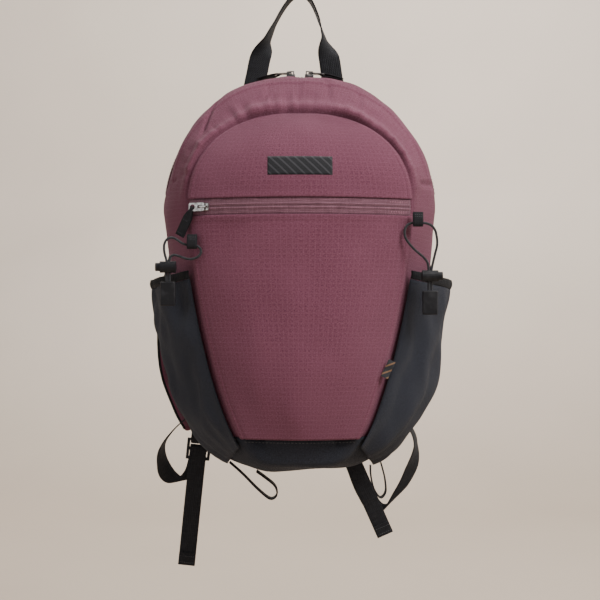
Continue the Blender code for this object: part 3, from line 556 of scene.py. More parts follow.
def label_cloth(name, ground, motif):
    """Dense black label weave with plain slanting stripes across its middle."""
    made, tree, shader = new_material(name, sheen=0.1)
    coords = uv_metres(tree, (1, 1, 1))
    stripes = ramp(tree, bands(tree, coords, 75, "DIAGONAL"), [(0.80, (0, 0, 0)), (0.86, (1, 1, 1))])
    weave = plain_weave(tree, coords, 2600)
    tint = thread_tint(tree, 1200, 200)
    colour = blend(tree, stripes, ground, motif)
    colour = blend(tree, 0.4, colour, ramp(tree, tint, grey(0.5, 1.0)), "MULTIPLY")
    tree.links.new(colour, shader.inputs["Base Color"])
    tree.links.new(ramp(tree, tint, grey(0.55, 0.8)), shader.inputs["Roughness"])
    relief(tree, shader, [(stripes, 0.4, 0.0003), (weave, 0.5, 0.0002)])
    return made


def backdrop_paint_and_shade(name, low, high):
    """Matt pale paint with the faintest mottling, and painted shade that makes it a little darker towards the
    floor.
    """
    made, tree, shader = new_material(name)
    coords = object_metres(tree)
    mottle = noise_at(tree, coords, 3.0)
    paint = ramp(tree, mottle, [(0.3, low), (0.7, high)])
    # Painted shade: the backdrop's colour darkens with height towards the floor, to 0.58 of itself at the
    # floor.
    split = add_node(tree, "ShaderNodeSeparateXYZ")
    tree.links.new(coords, split.inputs["Vector"])
    climb = add_node(tree, "ShaderNodeMapRange", {"From Min": -0.9, "From Max": 0.1})
    tree.links.new(split.outputs["Z"], climb.inputs["Value"])
    shade = ramp(tree, climb.outputs["Result"], [(0.0, (0.58, 0.55, 0.52)), (0.9, (1, 1, 1))])
    tree.links.new(blend(tree, 1.0, paint, shade, "MULTIPLY"), shader.inputs["Base Color"])
    tree.links.new(ramp(tree, mottle, grey(0.85, 0.95)), shader.inputs["Roughness"])
    relief(tree, shader, [(mottle, 0.02, 0.001)])
    return made


MAROON_DYE = [(0.140, 0.034, 0.066), (0.208, 0.059, 0.102), (0.290, 0.108, 0.166)]
STRAP_DYE = [(0.120, 0.029, 0.054), (0.175, 0.049, 0.084), (0.240, 0.088, 0.134)]
BLACK_DYE = [(0.012, 0.014, 0.021), (0.023, 0.026, 0.038), (0.042, 0.046, 0.064)]
STRETCH_DYE = [(0.012, 0.014, 0.021), (0.022, 0.025, 0.038), (0.044, 0.049, 0.068)]
MAROON = woven_cloth("maroon_weave", *MAROON_DYE, 1800, 0.05, 0.25)
MAROON_STRAP = woven_cloth("maroon_strap_weave", *STRAP_DYE, 1800, 0.05)
BLACK = woven_cloth("black_weave", *BLACK_DYE, 1900, 0.03)
STRETCH = woven_cloth("stretch_weave", *STRETCH_DYE, 1500, 0.06)
WEBBING = webbing_cloth("webbing_weave", (0.006, 0.006, 0.008), (0.018, 0.018, 0.022))
BINDING = webbing_cloth("binding_tape", (0.005, 0.005, 0.006), (0.013, 0.013, 0.016))
SPACER = open_mesh("spacer_mesh", (0.005, 0.005, 0.006), (0.026, 0.026, 0.031), 330.0, 0.0012)
ZIP_TAPE = zip_cloth("zip_tape", (0.132, 0.044, 0.070), (0.27, 0.120, 0.165))
COIL = moulded_plastic("zip_coil", (0.115, 0.036, 0.058), (0.21, 0.085, 0.12), 0.40)
PLASTIC = moulded_plastic("moulded_plastic", (0.010, 0.010, 0.012), (0.040, 0.040, 0.044), 0.36)
SHEET_PLASTIC = moulded_plastic("frame_plastic", (0.05, 0.05, 0.055), (0.10, 0.10, 0.11), 0.5)
METAL = worn_metal("plated_metal", (0.46, 0.45, 0.44), (0.20, 0.195, 0.19))
DARK_METAL = worn_metal("blackened_metal", (0.10, 0.10, 0.105), (0.20, 0.19, 0.19))
THREAD = twisted_thread("maroon_thread", (0.26, 0.085, 0.13), (0.42, 0.19, 0.25))
BLACK_THREAD = twisted_thread("black_thread", (0.02, 0.02, 0.024), (0.07, 0.07, 0.08))
CORD = braided_cord("elastic_braid", (0.008, 0.008, 0.011), (0.026, 0.027, 0.034))
LABEL = label_cloth("label_weave", (0.006, 0.006, 0.009), (0.036, 0.036, 0.042))
TAG = label_cloth("tag_weave", (0.024, 0.025, 0.030), (0.20, 0.11, 0.06))
EDGE_THREAD = twisted_thread("label_thread", (0.16, 0.16, 0.17), (0.30, 0.30, 0.31))
BACKDROP = backdrop_paint_and_shade("backdrop_paint_and_shade", (0.75, 0.662, 0.575), (0.78, 0.69, 0.60))


# ---------------------------------------------------------------- mesh helpers


def link(name, data, paint):
    """An object of this name in the scene, with its material."""
    made = bpy.data.objects.new(name, data)
    bpy.context.scene.collection.objects.link(made)
    data.materials.append(paint)
    return made


def mount(piece, body, slot, *nodes):
    """Ride on a body and stand for the given CAD nodes; the slot is not used."""
    if body:
        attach(piece, body)
    if nodes:
        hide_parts(*nodes)
    return piece


def finish_mesh(name, work, paint):
    """Turn a bmesh into a smooth-shaded object."""
    mesh = bpy.data.meshes.new(name)
    work.to_mesh(mesh)
    work.free()
    mesh.shade_smooth()
    return link(name, mesh, paint)


def lengths_along(points):
    """Distance from the first point to each point."""
    found = [0.0]
    for a, b in zip(points, points[1:]):
        found.append(found[-1] + (b - a).length)
    return found


def grid_mesh(work, rows, closed=False):
    """Faces over rows of points, with cloth coordinates in metres from the middle row and column."""
    weave = work.loops.layers.uv.verify()
    middle = rows[len(rows) // 2]
    across = lengths_along(list(middle) + [middle[0]])
    along = lengths_along([row[len(row) // 3] for row in rows])
    grid = [[work.verts.new(point) for point in row] for row in rows]
    count = len(rows[0])
    for j in range(len(rows) - 1):
        for k in range(count if closed else count - 1):
            after = (k + 1) % count
            face = work.faces.new((grid[j][k], grid[j][after], grid[j + 1][after], grid[j + 1][k]))
            spots = ((k, j), (k + 1, j), (k + 1, j + 1), (k, j + 1))
            for loop, (u, v) in zip(face.loops, spots):
                loop[weave].uv = (across[u], along[v])
    return grid


def name_uvs(piece):
    """The cloth coordinates' layer has the name that the materials read."""
    for layer in piece.data.uv_layers:
        layer.name = "weave"


def cloth_grid(name, rows, paint, closed=False, thickness=0.0, offset=-1.0):
    """A sheet of cloth over rows of points; with a thickness it has two faces and an edge."""
    work = bmesh.new()
    grid_mesh(work, rows, closed)
    piece = finish_mesh(name, work, paint)
    name_uvs(piece)
    if thickness:
        thick = piece.modifiers.new("thickness", "SOLIDIFY")
        thick.thickness = thickness
        thick.offset = offset
    return piece


# Webbing cross-section: places across from -1 to 1, and heights from -1 to 1
LEFT_FACE = [(-0.985, 0.55), (-0.90, 0.95), (-0.45, 1.0)]
FACE_PROFILE = LEFT_FACE + [(0.0, 1.0)] + [(-s, h) for s, h in reversed(LEFT_FACE)]
PROFILE = [(-1.0, 0.0)] + FACE_PROFILE + [(1.0, 0.0)] + [(s, -h) for s, h in reversed(FACE_PROFILE)]


def tape(name, stations, thickness, paint):
    """Flat webbing with rounded edges through (point, width direction, width) stations."""
    work = bmesh.new()
    weave = work.loops.layers.uv.verify()
    last = len(stations) - 1
    rows = []
    for k, (point, side, width) in enumerate(stations):
        along = (stations[min(k + 1, last)][0] - stations[max(k - 1, 0)][0]).normalized()
        out = along.cross(side).normalized()
        rows.append([point + side * (width / 2 * s) + out * (thickness / 2 * h) for s, h in PROFILE])
    reach = lengths_along([s[0] for s in stations])
    grid = [[work.verts.new(p) for p in row] for row in rows]
    count = len(PROFILE)
    for j in range(last):
        for k in range(count):
            after = (k + 1) % count
            face = work.faces.new((grid[j][k], grid[j + 1][k], grid[j + 1][after], grid[j][after]))
            spots = ((k, j), (k, j + 1), (after, j + 1), (after, j))
            for loop, (a, b) in zip(face.loops, spots):
                loop[weave].uv = (PROFILE[a][0] * stations[b][2] / 2, reach[b])
    work.faces.new(grid[0])
    work.faces.new(list(reversed(grid[-1])))
    bmesh.ops.recalc_face_normals(work, faces=work.faces)
    piece = finish_mesh(name, work, paint)
    piece.data.set_sharp_from_angle(angle=math.radians(70))
    name_uvs(piece)
    return piece


def spaced(route, across, widths, spacing=0.003):
    """Even stations on a smooth route; across and widths are given at each of its points."""
    line = smooth_route(route, spacing)
    last = len(line) - 1
    found = []
    for k, point in enumerate(line):
        place = k / last * (len(across) - 1)
        low = min(int(place), len(across) - 2)
        part = place - low
        side = Vector(across[low]).lerp(Vector(across[low + 1]), part).normalized()
        found.append((point, side, widths[low] * (1 - part) + widths[low + 1] * part))
    return found


def folded(points, side, widths, per=4):
    """Stations through every given point, with a few on the smooth curve between each two."""
    points = [Vector(p) for p in points]
    ends = [2 * points[0] - points[1]] + points + [2 * points[-1] - points[-2]]
    found = []
    for k in range(len(points) - 1):
        before, start, stop, after = ends[k:k + 4]
        handles = (start + (stop - before) / 7, stop - (after - start) / 7)
        curve = interpolate_bezier(start, *handles, stop, per + 1)
        for j, point in enumerate(curve[:-1]):
            found.append((point, side, widths[k] + (widths[k + 1] - widths[k]) * j / per))
    found.append((points[-1], side, widths[-1]))
    return found


def stitches(name, runs, paint, stitch=0.0026, gap=0.0011, radius=0.00030):
    """Rows of sewn thread: each run is a list of (point, outward direction)."""
    work = bmesh.new()
    for run in runs:
        reach = lengths_along([p for p, _ in run])
        start = gap
        while start + stitch < reach[-1]:
            one_stitch(work, [along_run(run, reach, start + stitch * k / 4) for k in range(5)], radius)
            start += stitch + gap
    return finish_mesh(name, work, paint)


def along_run(run, reach, distance):
    """The point and outward direction at a distance along a run."""
    k = 0
    while k < len(reach) - 2 and reach[k + 1] < distance:
        k += 1
    part = (distance - reach[k]) / max(reach[k + 1] - reach[k], 1e-9)
    point = run[k][0].lerp(run[k + 1][0], part)
    out = run[k][1].lerp(run[k + 1][1], part).normalized()
    return point, out


def skin(work, rings):
    """Faces between rings of points, with both ends closed."""
    count = len(rings[0])
    for low, high in zip(rings, rings[1:]):
        for k in range(count):
            after = (k + 1) % count
            work.faces.new((low[k], low[after], high[after], high[k]))
    work.faces.new(list(reversed(rings[0])))
    work.faces.new(rings[-1])


def one_stitch(work, spots, radius):
    """A short plump length of thread that dips into the cloth at both ends."""
    along = (spots[-1][0] - spots[0][0]).normalized()
    rings = []
    for (point, out), swell, lift in zip(spots, (0.25, 0.9, 1.0, 0.9, 0.25), (-1.0, 0.5, 0.9, 0.5, -1.0)):
        side = along.cross(out).normalized()
        centre = point + out * radius * lift
        ring = []
        for k in range(6):
            turn = math.radians(60 * k)
            spoke = side * math.cos(turn) + out * math.sin(turn)
            ring.append(work.verts.new(centre + spoke * radius * swell))
        rings.append(ring)
    skin(work, rings)


def rectangle(half_x, half_z):
    """The corners of a rectangle centred on (0, 0), ending at the first one again."""
    bottom = [(-half_x, -half_z), (half_x, -half_z)]
    top = [(half_x, half_z), (-half_x, half_z)]
    return bottom + top + bottom[:1]


def box_run(stations, start, stop, lift, inset=0.0022):
    """A sewn box with a cross in it on one face of a tape, between two of its stations."""
    corners = []
    for index, sign in ((start, -1), (start, 1), (stop, 1), (stop, -1)):
        point, side, width = stations[index]
        corners.append(point + side * sign * (width / 2 - inset) + lift)
    out = lift.normalized()
    a, b, c, d = corners
    return [[(p, out), (q, out)] for p, q in ((a, b), (b, c), (c, d), (d, a), (a, c), (b, d))]


# ---------------------------------------------------------------- camera and cords


def camera():
    """The camera looks straight at the pack's front from a little over a metre."""
    lens = bpy.data.cameras.new("camera")
    lens.lens = 65.7
    lens.sensor_width = 36
    made = bpy.data.objects.new("camera", lens)
    bpy.context.scene.collection.objects.link(made)
    made.location = (0, -1.22, -0.339)
    made.rotation_euler = (math.radians(90), 0, 0)
    bpy.context.scene.camera = made


# The cord lock's middle, and the loop that the cord makes above it, outer strand first
BUNGEE = {
    "left": {
        "lock": (-0.1320, -0.3060),
        "keeper": (-0.1080, -0.2845),
        "loop": [
            (-0.1358, -0.2900),
            (-0.1350, -0.2815),
            (-0.1300, -0.2765),
            (-0.1235, -0.2785),
            (-0.1160, -0.2832),
            (-0.1080, -0.2845),
            (-0.1020, -0.2855),
            (-0.0990, -0.2905),
            (-0.1030, -0.2965),
            (-0.1120, -0.2980),
            (-0.1200, -0.2955),
            (-0.1260, -0.2940),
            (-0.1298, -0.2968),
        ],
    },
    "right": {
        "lock": (0.1300, -0.3150),
        "keeper": (0.1180, -0.2622),
        "loop": [
            (0.1345, -0.2950),
            (0.1372, -0.2820),
            (0.1345, -0.2680),
            (0.1270, -0.2626),
            (0.1180, -0.2622),
            (0.1100, -0.2626),
            (0.1050, -0.2680),
            (0.1056, -0.2770),
            (0.1130, -0.2870),
            (0.1220, -0.2950),
            (0.1270, -0.3005),
        ],
    },
}


def bungee_cord(side, facts):
    """The elastic cord: up from its moulded end, through the lock, round the keeper and back."""
    x, z = facts["lock"]
    apart = STRAND_APART / 2 * SIDES[side]
    heights = [z - CORD_END_DROP, z - LOCK_RADIUS, z + LOCK_RADIUS]
    rise = [(x + apart, CORD_Y, height) for height in heights]
    fall = [(x - apart, CORD_Y, height) for height in reversed(heights)]
    route = smooth_route(rise + [(a, CORD_Y, b) for a, b in facts["loop"]] + fall, CORD_RADIUS * 4.4)
    name = "elastic_cord_" + side
    curve = bpy.data.curves.new(name, "CURVE")
    curve.dimensions = "3D"
    curve.bevel_depth = CORD_RADIUS
    curve.bevel_resolution = 4
    curve.use_fill_caps = True
    line = curve.splines.new("BEZIER")
    line.bezier_points.add(len(route) - 1)
    for knot, point in zip(line.bezier_points, route):
        knot.co = point
        knot.handle_left_type = "AUTO"
        knot.handle_right_type = "AUTO"
    piece = link(name, curve, CORD)
    mount(piece, "bungee_" + side, "elastic_cord", "bungee_cord_" + side)


# ---------------------------------------------------------------- bag


# Creases in the side wall: place and depth at both ends, half-width in places, and how deep they are
CREASES = (
    (-1.62, 0.38, -1.42, 0.80, 0.030, 0.0036),
    (1.12, 0.30, 1.14, 0.85, 0.022, 0.0030),
    (1.88, 0.42, 1.84, 0.86, 0.022, 0.0022),
    (1.72, 0.50, 1.66, 0.90, 0.020, 0.0018),
    (-1.86, 0.55, -1.80, 0.88, 0.020, 0.0014),
    (1.40, 0.45, 1.34, 0.85, 0.022, 0.0016),
    (-1.12, 0.35, -1.16, 0.75, 0.022, 0.0018),
)


def crease(place, depth):
    """How deep the creases are at a point of the side wall."""
    total = 0.0
    for start, start_depth, stop, stop_depth, half, deep in CREASES:
        part = (depth - start_depth) / (stop_depth - start_depth)
        line = start + (stop - start) * part
        fade = ease(part, 0.0, 0.25) * ease(1 - part, 0.0, 0.25)
        total += ridge(place, line, half) * deep * fade
    return total


def shell_point(place, depth):
    """The side wall as sewn: slack cloth, a welted seam, and a puckered roll over the arch seam."""
    point = wall(place, depth)
    out = wall_normal(place, depth)
    arch = ease(abs(place), 0.95, 1.30)
    slack = ease(depth, 0.02, 0.15) * ease(1 - depth, 0.02, 0.15)
    lift = (ruffle(point, 0.075) * 0.0030 + ruffle(point, 0.032, 3.0) * 0.0014) * slack
    lift += ruffle(point, 0.014, 5.0) * 0.0004 * slack
    lift += ruffle((place * 0.9, depth * 0.25, 0.0), 0.11, 11.0) * 0.0012 * slack
    lift += ridge(depth, 0.56, 0.025) * 0.0016 * arch
    lift += ease(0.56 - depth, 0.0, 0.02) * ease(depth, 0.40, 0.50) * 0.0010 * arch
    lift -= crease(place, depth)
    pucker = ruffle((place * 0.27, depth * 0.03, 0.0), 0.0105, 8.0)
    lift += pucker * 0.0024 * ease(depth, 0.62, 0.90) * ease(1 - depth, 0.0, 0.04) * arch
    roll = 0.75 + 0.5 * ruffle((place * 0.27, 0.0, 0.0), 0.06, 14.0)
    lift += ridge(depth, 0.90, 0.12) * 0.0026 * roll * arch
    lift -= ease(depth, 0.955, 1.0) * (0.0015 + 0.0020 * arch)
    forward = ridge(depth, 0.915, 0.085) * 0.0075 * roll * arch
    return point + out * lift + Vector((0, -forward, 0))


def shell():
    """The bag's side walls and hidden front wall, cut into the maroon body and the black base."""
    places = [-2 + k / 80 for k in range(320)]
    depths = [k / 52 for k in range(53)]
    rows = [[shell_point(place, depth) for place in places] for depth in depths]
    for scale in (0.97, 0.86, 0.66, 0.44, 0.22, 0.05):
        ring = []
        for place in places:
            face = outline(FACE, place)
            x = face.x * scale
            z = FRONT_CENTRE_Z + (face.y - FRONT_CENTRE_Z) * scale
            y = front_depth(x, z) + CLOTH + POCKET_GAP + POCKET_DEPTH * (1 - scale ** 3)
            ring.append(Vector((x, y, z)))
        rows.append(ring)
    cut_shell("pack_body", rows, MAROON, "maroon_cloth", "main_shell", True)
    cut_shell("pack_base", rows, BLACK, "black_cloth", "base_panel", False)


def cut_shell(name, rows, paint, slot, node, above):
    """The part of the bag above or below the base seam."""
    work = bmesh.new()
    grid_mesh(work, rows, True)
    bmesh.ops.bisect_plane(
        work,
        geom=work.verts[:] + work.edges[:] + work.faces[:],
        dist=1e-5,
        plane_co=(0, 0, BASE_SEAM_Z),
        plane_no=(0, 0, -1 if above else 1),
        clear_outer=True,
    )
    bmesh.ops.recalc_face_normals(work, faces=work.faces)
    for vert in work.verts:
        near = ridge(vert.co.z, BASE_SEAM_Z, 0.006)
        flat = Vector((vert.co.x, vert.co.y + 0.06, 0)).normalized()
        vert.co += flat * near * (-0.0007 if above else 0.0006)
    piece = finish_mesh(name, work, paint)
    name_uvs(piece)
    thick = piece.modifiers.new("thickness", "SOLIDIFY")
    thick.thickness = CLOTH
    mount(piece, "pack", slot, node)


def panel_point(x, z):
    """The front panels as sewn: soft waves, hems along the zip, and a rolled outer edge."""
    half = front_half_width(z)
    inside = max(half - abs(x), 0.0)
    point = Vector((x, front_depth(x, z), z))
    soft = ease(inside, 0.004, 0.035) * ease(abs(z - ZIP_Z), ZIP_HALF, ZIP_HALF + 0.02)
    lift = (ruffle(point, 0.085, 2.0) * 0.0026 + ruffle(point, 0.034, 4.0) * 0.0010) * soft
    lift += ruffle((x, 0.0, z * 0.35), 0.022, 6.0) * 0.0006 * soft
    pull = ease(-z, 0.40, 0.47) * ease(inside, 0.0, 0.03)
    lift += ruffle((x * 1.2, 0.0, z * 0.5), 0.026, 9.0) * 0.0015 * pull
    hem = abs(z - ZIP_Z) - ZIP_HALF
    lift += ease(0.0060 - hem, 0.0, 0.0012) * 0.0006
    lift -= ridge(inside, 0.0055, 0.0018) * 0.0005
    roll = (1 - ease(inside, 0.0, 0.004)) * 0.0016
    return Vector((x, point.y - lift + roll, z))


def panel_rows(low, high, rows, columns=96):
    """Rows of front panel points between two heights, as wide as the front is there."""
    found = []
    for k in range(rows + 1):
        z = low + (high - low) * k / rows
        half = front_half_width(z)
        turns = [math.pi * (j / columns - 0.5) for j in range(columns + 1)]
        found.append([panel_point(half * math.sin(turn), z) for turn in turns])
    return found


def front_panels():
    """Both front panels with their folded hems along the zip, and their rows of stitching."""
    spans = {
        "front_panel_lower": (BASE_SEAM_Z, ZIP_Z - ZIP_HALF - GAP, 110),
        "front_panel_upper": (ZIP_Z + ZIP_HALF + GAP, FRONT_TOP_Z - 0.0006, 64),
    }
    for node, (low, high, rows) in spans.items():
        name = node.replace("front_panel", "front_cloth")
        piece = cloth_grid(name, panel_rows(low, high, rows), MAROON, thickness=CLOTH, offset=1)
        mount(piece, "pack", "maroon_cloth", node)
    runs = []
    for away in (0.0022, 0.0056):
        for sign in (-1, 1):
            z = ZIP_Z + (ZIP_HALF + away) * sign
            half = front_half_width(z) - 0.002
            runs.append(panel_run([(half * (k / 60 - 1), z) for k in range(121)]))
    runs.append(panel_run(edge_path(0.0055)))
    mount(stitches("front_stitching", runs, THREAD), "pack", "maroon_cloth")


def edge_path(inset):
    """Points (x, z) a fixed distance inside the front outline, from end to end of the base seam."""
    points = []
    for k in range(241):
        spot = outline(FACE, edge_place(k / 240))
        inwards = (Vector((0, MIDDLE_Z)) - spot).normalized()
        points.append((spot.x + inwards.x * inset, spot.y + inwards.y * inset))
    return [p for p in points if p[1] > BASE_SEAM_Z + 0.004]


def edge_place(part):
    """Places from the lower left, over the top, to the lower right."""
    place = -0.15 - 3.70 * part
    return place if place > -2 else place + 4


def panel_run(path):
    """A stitching run on the front panels."""
    return [(panel_point(x, z) + Vector((0, -0.0002, 0)), Vector((0, -1, 0))) for x, z in path]


def base_details():
    """Topstitching just below the base seam, on the black side."""
    z = BASE_SEAM_Z - 0.0035
    run = []
    for j in range(121):
        x = front_half_width(z) * 0.98 * (j / 60 - 1)
        run.append((Vector((x, base_front(x, z), z)), Vector((0, -1, 0))))
    mount(stitches("base_stitching", [run], BLACK_THREAD), "pack", "black_cloth")


def base_front(x, z):
    """Y of the black base's front, just behind the front panels."""
    return front_depth(x, z) + 0.0022


# ---------------------------------------------------------------- zips


def cylinder_point(turn, z, lift=0.0):
    """A point on the front zip's own curve."""
    radius = ZIP_RADIUS + lift
    return Vector((radius * math.sin(turn), ZIP_AXIS_Y - radius * math.cos(turn), z))


def front_zip():
    """The front zip's tape with its raised coil rows, its slit, and its end bar tack."""
    reach = math.asin(ZIP_SPAN / ZIP_RADIUS)
    rows = []
    for j in range(25):
        v = j / 24 * 2 - 1
        lift = 0.0007 * ridge(abs(v), 0.22, 0.20) - 0.0006 * ridge(v, 0.0, 0.06)
        lift -= 0.0005 * ease(abs(v), 0.8, 1.0)
        rows.append([cylinder_point(reach * (k / 90 - 1), ZIP_Z + ZIP_HALF * v, lift) for k in range(181)])
    piece = cloth_grid("front_zip_tape", rows, ZIP_TAPE, thickness=0.0010, offset=1)
    mount(piece, "pack", "maroon_zip_tape", "front_zip_chain")

    def on_coil(part, v):
        return cylinder_point(reach * (part * 2 - 1) * 0.985, ZIP_Z + 0.0026 * v, 0.0006)

    coil_rows("front_zip_coil", on_coil, lambda part: out_of_zip(reach * (part * 2 - 1)), 150)
    turns = [reach * (k / 60 - 1) for k in range(121)]
    runs = []
    for z in (ZIP_Z - 0.0062, ZIP_Z + 0.0062):
        runs.append([(cylinder_point(turn, z, 0.0002), out_of_zip(turn)) for turn in turns])
    mount(stitches("zip_stitching", runs, THREAD), "pack", "maroon_zip_tape")
    tack = []
    for k in range(14):
        turn = reach * (0.80 + 0.012 * k)
        low, high = (-0.0066, 0.0066) if k % 2 else (0.0066, -0.0066)
        after = turn + reach * 0.012
        ends = ((turn, ZIP_Z + low), (after, ZIP_Z + high))
        tack.append([(cylinder_point(spot, z, 0.0007), out_of_zip(spot)) for spot, z in ends])
    mount(stitches("zip_bar_tack", tack, THREAD, 0.0030, 0.0003, 0.00036), "pack", "maroon_zip_tape")


def out_of_zip(turn):
    """Outward direction on the front zip's curve."""
    return Vector((math.sin(turn), -math.cos(turn), 0))


def coil_rows(name, spot, out_at, count):
    """Two rows of small rounded coil turns along a zip."""
    work = bmesh.new()
    for row in (-1, 1):
        for k in range(count):
            part = (k + 0.5 + 0.25 * row) / count
            inner = spot(part, 0.12 * row)
            outer = spot(part, 1.0 * row)
            out = out_at(part)
            spots = [(inner.lerp(outer, f), out) for f in (0.0, 0.25, 0.5, 0.75, 1.0)]
            one_stitch(work, spots, 0.00042)
    mount(finish_mesh(name, work, COIL), "pack", "maroon_zip_tape")


def main_zip():
    """The main zip over the top of the bag, its coil, and its stitched tape edges."""
    middle = sum(MAIN_ZIP_Y) / 2
    half = (MAIN_ZIP_Y[1] - MAIN_ZIP_Y[0]) / 2

    def spot(turn, y, lift=0.0):
        radius = MAIN_ZIP_RADIUS + MAIN_ZIP_TAPE + lift
        return Vector((radius * math.sin(turn), y, ARCH_Z + radius * math.cos(turn)))

    def out(turn):
        return Vector((math.sin(turn), 0, math.cos(turn)))

    rows = []
    for j in range(17):
        v = j / 16 * 2 - 1
        lift = 0.0005 * ridge(abs(v), 0.22, 0.20) - 0.0005 * ridge(v, 0.0, 0.07)
        lift -= 0.0006 * ease(abs(v), 0.8, 1.0)
        rows.append([spot(MAIN_ZIP_SPAN * (k / 100 - 1), middle + half * v, lift) for k in range(201)])
    piece = cloth_grid("main_zip_tape", rows, ZIP_TAPE, thickness=0.0010, offset=-1)
    mount(piece, "pack", "maroon_zip_tape", "main_zip_chain")

    def on_coil(part, v):
        return spot(MAIN_ZIP_SPAN * (part * 2 - 1), middle + 0.0026 * v, 0.0004)

    coil_rows("main_zip_coil", on_coil, lambda part: out(MAIN_ZIP_SPAN * (part * 2 - 1)), 280)
    turns = [MAIN_ZIP_SPAN * (k / 80 - 1) for k in range(161)]
    runs = []
    for y in (middle - 0.0062, middle + 0.0062):
        runs.append([(spot(turn, y, 0.0001), out(turn)) for turn in turns])
    mount(stitches("main_zip_stitching", runs, THREAD), "pack", "maroon_zip_tape")


def frame_matrix(along, out, origin):
    """A matrix whose x is along, z is out, and y completes it."""
    across = out.cross(along)
    return Matrix.Translation(origin) @ Matrix((along, across, out)).transposed().to_4x4()


def pull_tape(prefix, place, angle):
    """A folded tape through a puller's eye, sewn together below it."""
    eye = place @ Matrix.Translation((PULL_HOLE_X, 0, PULLER_LEVEL))
    down = Vector((math.cos(angle), math.sin(angle), 0))
    side = (eye.to_3x3() @ Vector((-math.sin(angle), math.cos(angle), 0))).normalized()
    out = Vector((0, 0, 1))
    steps = ((PULL_LENGTH, 0.0008), (0.0120, 0.0012), (0.0040, 0.0014), (0.0008, 0.0009), (0.0, 0.0))
    steps += tuple((along, -lift) for along, lift in reversed(steps[:-1]))
    widths = (0.0100, 0.0095, 0.0034, 0.0034, 0.0034, 0.0034, 0.0034, 0.0095, 0.0100)
    points = [eye @ (down * along + out * lift) for along, lift in steps]
    piece = tape(prefix + "_pull", folded(points, side, widths, 8), 0.0008, WEBBING)
    mount(piece, prefix + "_pull", "black_webbing", prefix + "_pull_tape")
    face = (eye.to_3x3() @ out).normalized()
    run = []
    for along in (0.0150, 0.0290):
        start = eye @ (down * along + out * 0.0014)
        run.append([(start - side * 0.0038, face), (start + side * 0.0038, face)])
    sewn = stitches(prefix + "_pull_stitching", run, BLACK_THREAD, 0.0016, 0.0004)
    mount(sewn, prefix + "_pull", "black_webbing")


def pulls():
    """The tape pulls of all three sliders."""
    turn = FRONT_SLIDER_ANGLE
    out = out_of_zip(turn)
    along = Vector((-math.cos(turn), -math.sin(turn), 0))
    place = frame_matrix(along, out, Vector((0, ZIP_AXIS_Y, ZIP_Z)) + out * ZIP_RADIUS)
    pull_tape("front_zip", place, math.radians(62))
    for side, sign in SIDES.items():
        turn = MAIN_SLIDER_ANGLE * sign
        out = Vector((math.sin(turn), 0, math.cos(turn)))
        along = Vector((math.cos(turn), 0, -math.sin(turn))) * sign
        middle = Vector((0, sum(MAIN_ZIP_Y) / 2, ARCH_Z)) + out * (MAIN_ZIP_RADIUS + MAIN_ZIP_TAPE * 2)
        pull_tape("main_zip_" + side, frame_matrix(along, out, middle), math.radians(45) * sign)


# ---------------------------------------------------------------- pockets, label and tag


def pocket_surface(place, depth, rise, side):
    """A side pocket's outer face: it stands off the wall, and slack folds run up to its mouth."""
    sign = SIDES[side]
    across = math.sin(math.pi * min(max((depth - POCKET_REAR) / POCKET_SPAN, 0), 1)) ** 0.7
    low, high = POCKET_BULGES[side]
    bulge = low + (high - low) * min(rise, 1)
    lift = POCKET_LIFT + bulge * across * math.sin(math.pi / 2 * min(rise * POCKET_FILL[side], 1))
    point = wall(place, depth)
    inside = ease(across, 0.05, 0.6)
    lift += ruffle((depth * 0.16 + rise * 0.04, rise * 0.110, 0.0), 0.028, 7.0 + sign) * 0.0068 * inside
    lift += ruffle((depth * 0.12 - rise * 0.03, rise * 0.090, 0.3), 0.014, 2.0 + sign) * 0.0024 * inside
    moved = point + wall_normal(place, depth) * lift
    return Vector((moved.x * sign, moved.y, moved.z))


def side_pockets():
    """Stretch pockets on both sides, with gathered elastic hems."""
    depths = [POCKET_REAR + POCKET_SPAN * k / 56 for k in range(57)]
    for side, sign in SIDES.items():
        rows = []
        for j in range(61):
            rise = j / 60
            place = POCKET_LOW + (POCKET_TOP - POCKET_LOW) * rise
            rows.append([pocket_surface(place, d, rise, side) for d in depths])
        inwards = 1 if sign < 0 else -1
        piece = cloth_grid("stretch_pocket_" + side, rows, STRETCH, thickness=0.0012, offset=inwards)
        mount(piece, "pack", "stretch_mesh", "side_pocket_" + side)
        hem = []
        for j in range(13):
            v = j / 12
            place = POCKET_TOP + (0.0016 + 0.024 * v)
            line = []
            for d in depths:
                spot = pocket_surface(place, d, 1.0, side)
                out = wall_normal(place, d)
                gather = 0.0005 * math.sin(d * 190) * math.sin(math.pi * v) + 0.0007 * math.sin(math.pi * v)
                line.append(spot + Vector((out.x * sign, out.y, out.z)) * gather)
            hem.append(line)
        band = cloth_grid("elastic_hem_" + side, hem, BINDING, thickness=0.0016, offset=inwards)
        mount(band, "pack", "black_webbing", "pocket_hem_" + side)


def label():
    """The woven label on the upper front panel, with a raised border of thread."""
    rows = []
    for j in range(9):
        z = LABEL_Z + LABEL_SIZE[1] * (j / 8 - 0.5)
        rows.append([label_point(LABEL_SIZE[0] * (k / 32 - 0.5), z, 0.0009) for k in range(33)])
    piece = cloth_grid("woven_label", rows, LABEL, thickness=0.0008, offset=1)
    mount(piece, "pack", "woven_label", "label_patch")
    half_x, half_z = LABEL_SIZE[0] / 2 - 0.0012, LABEL_SIZE[1] / 2 - 0.0012
    corners = rectangle(half_x, half_z)
    runs = []
    for (x0, z0), (x1, z1) in zip(corners, corners[1:]):
        line = [(x0 + (x1 - x0) * k / 20, z0 + (z1 - z0) * k / 20) for k in range(21)]
        runs.append([(label_point(x, LABEL_Z + z, 0.0010), Vector((0, -1, 0))) for x, z in line])
    mount(stitches("label_border", runs, EDGE_THREAD, 0.0018, 0.0004, 0.00022), "pack", "woven_label")


def label_point(x, z, lift):
    """A point in front of the front panel by the given lift."""
    return panel_point(x, z) + Vector((0, -lift, 0))


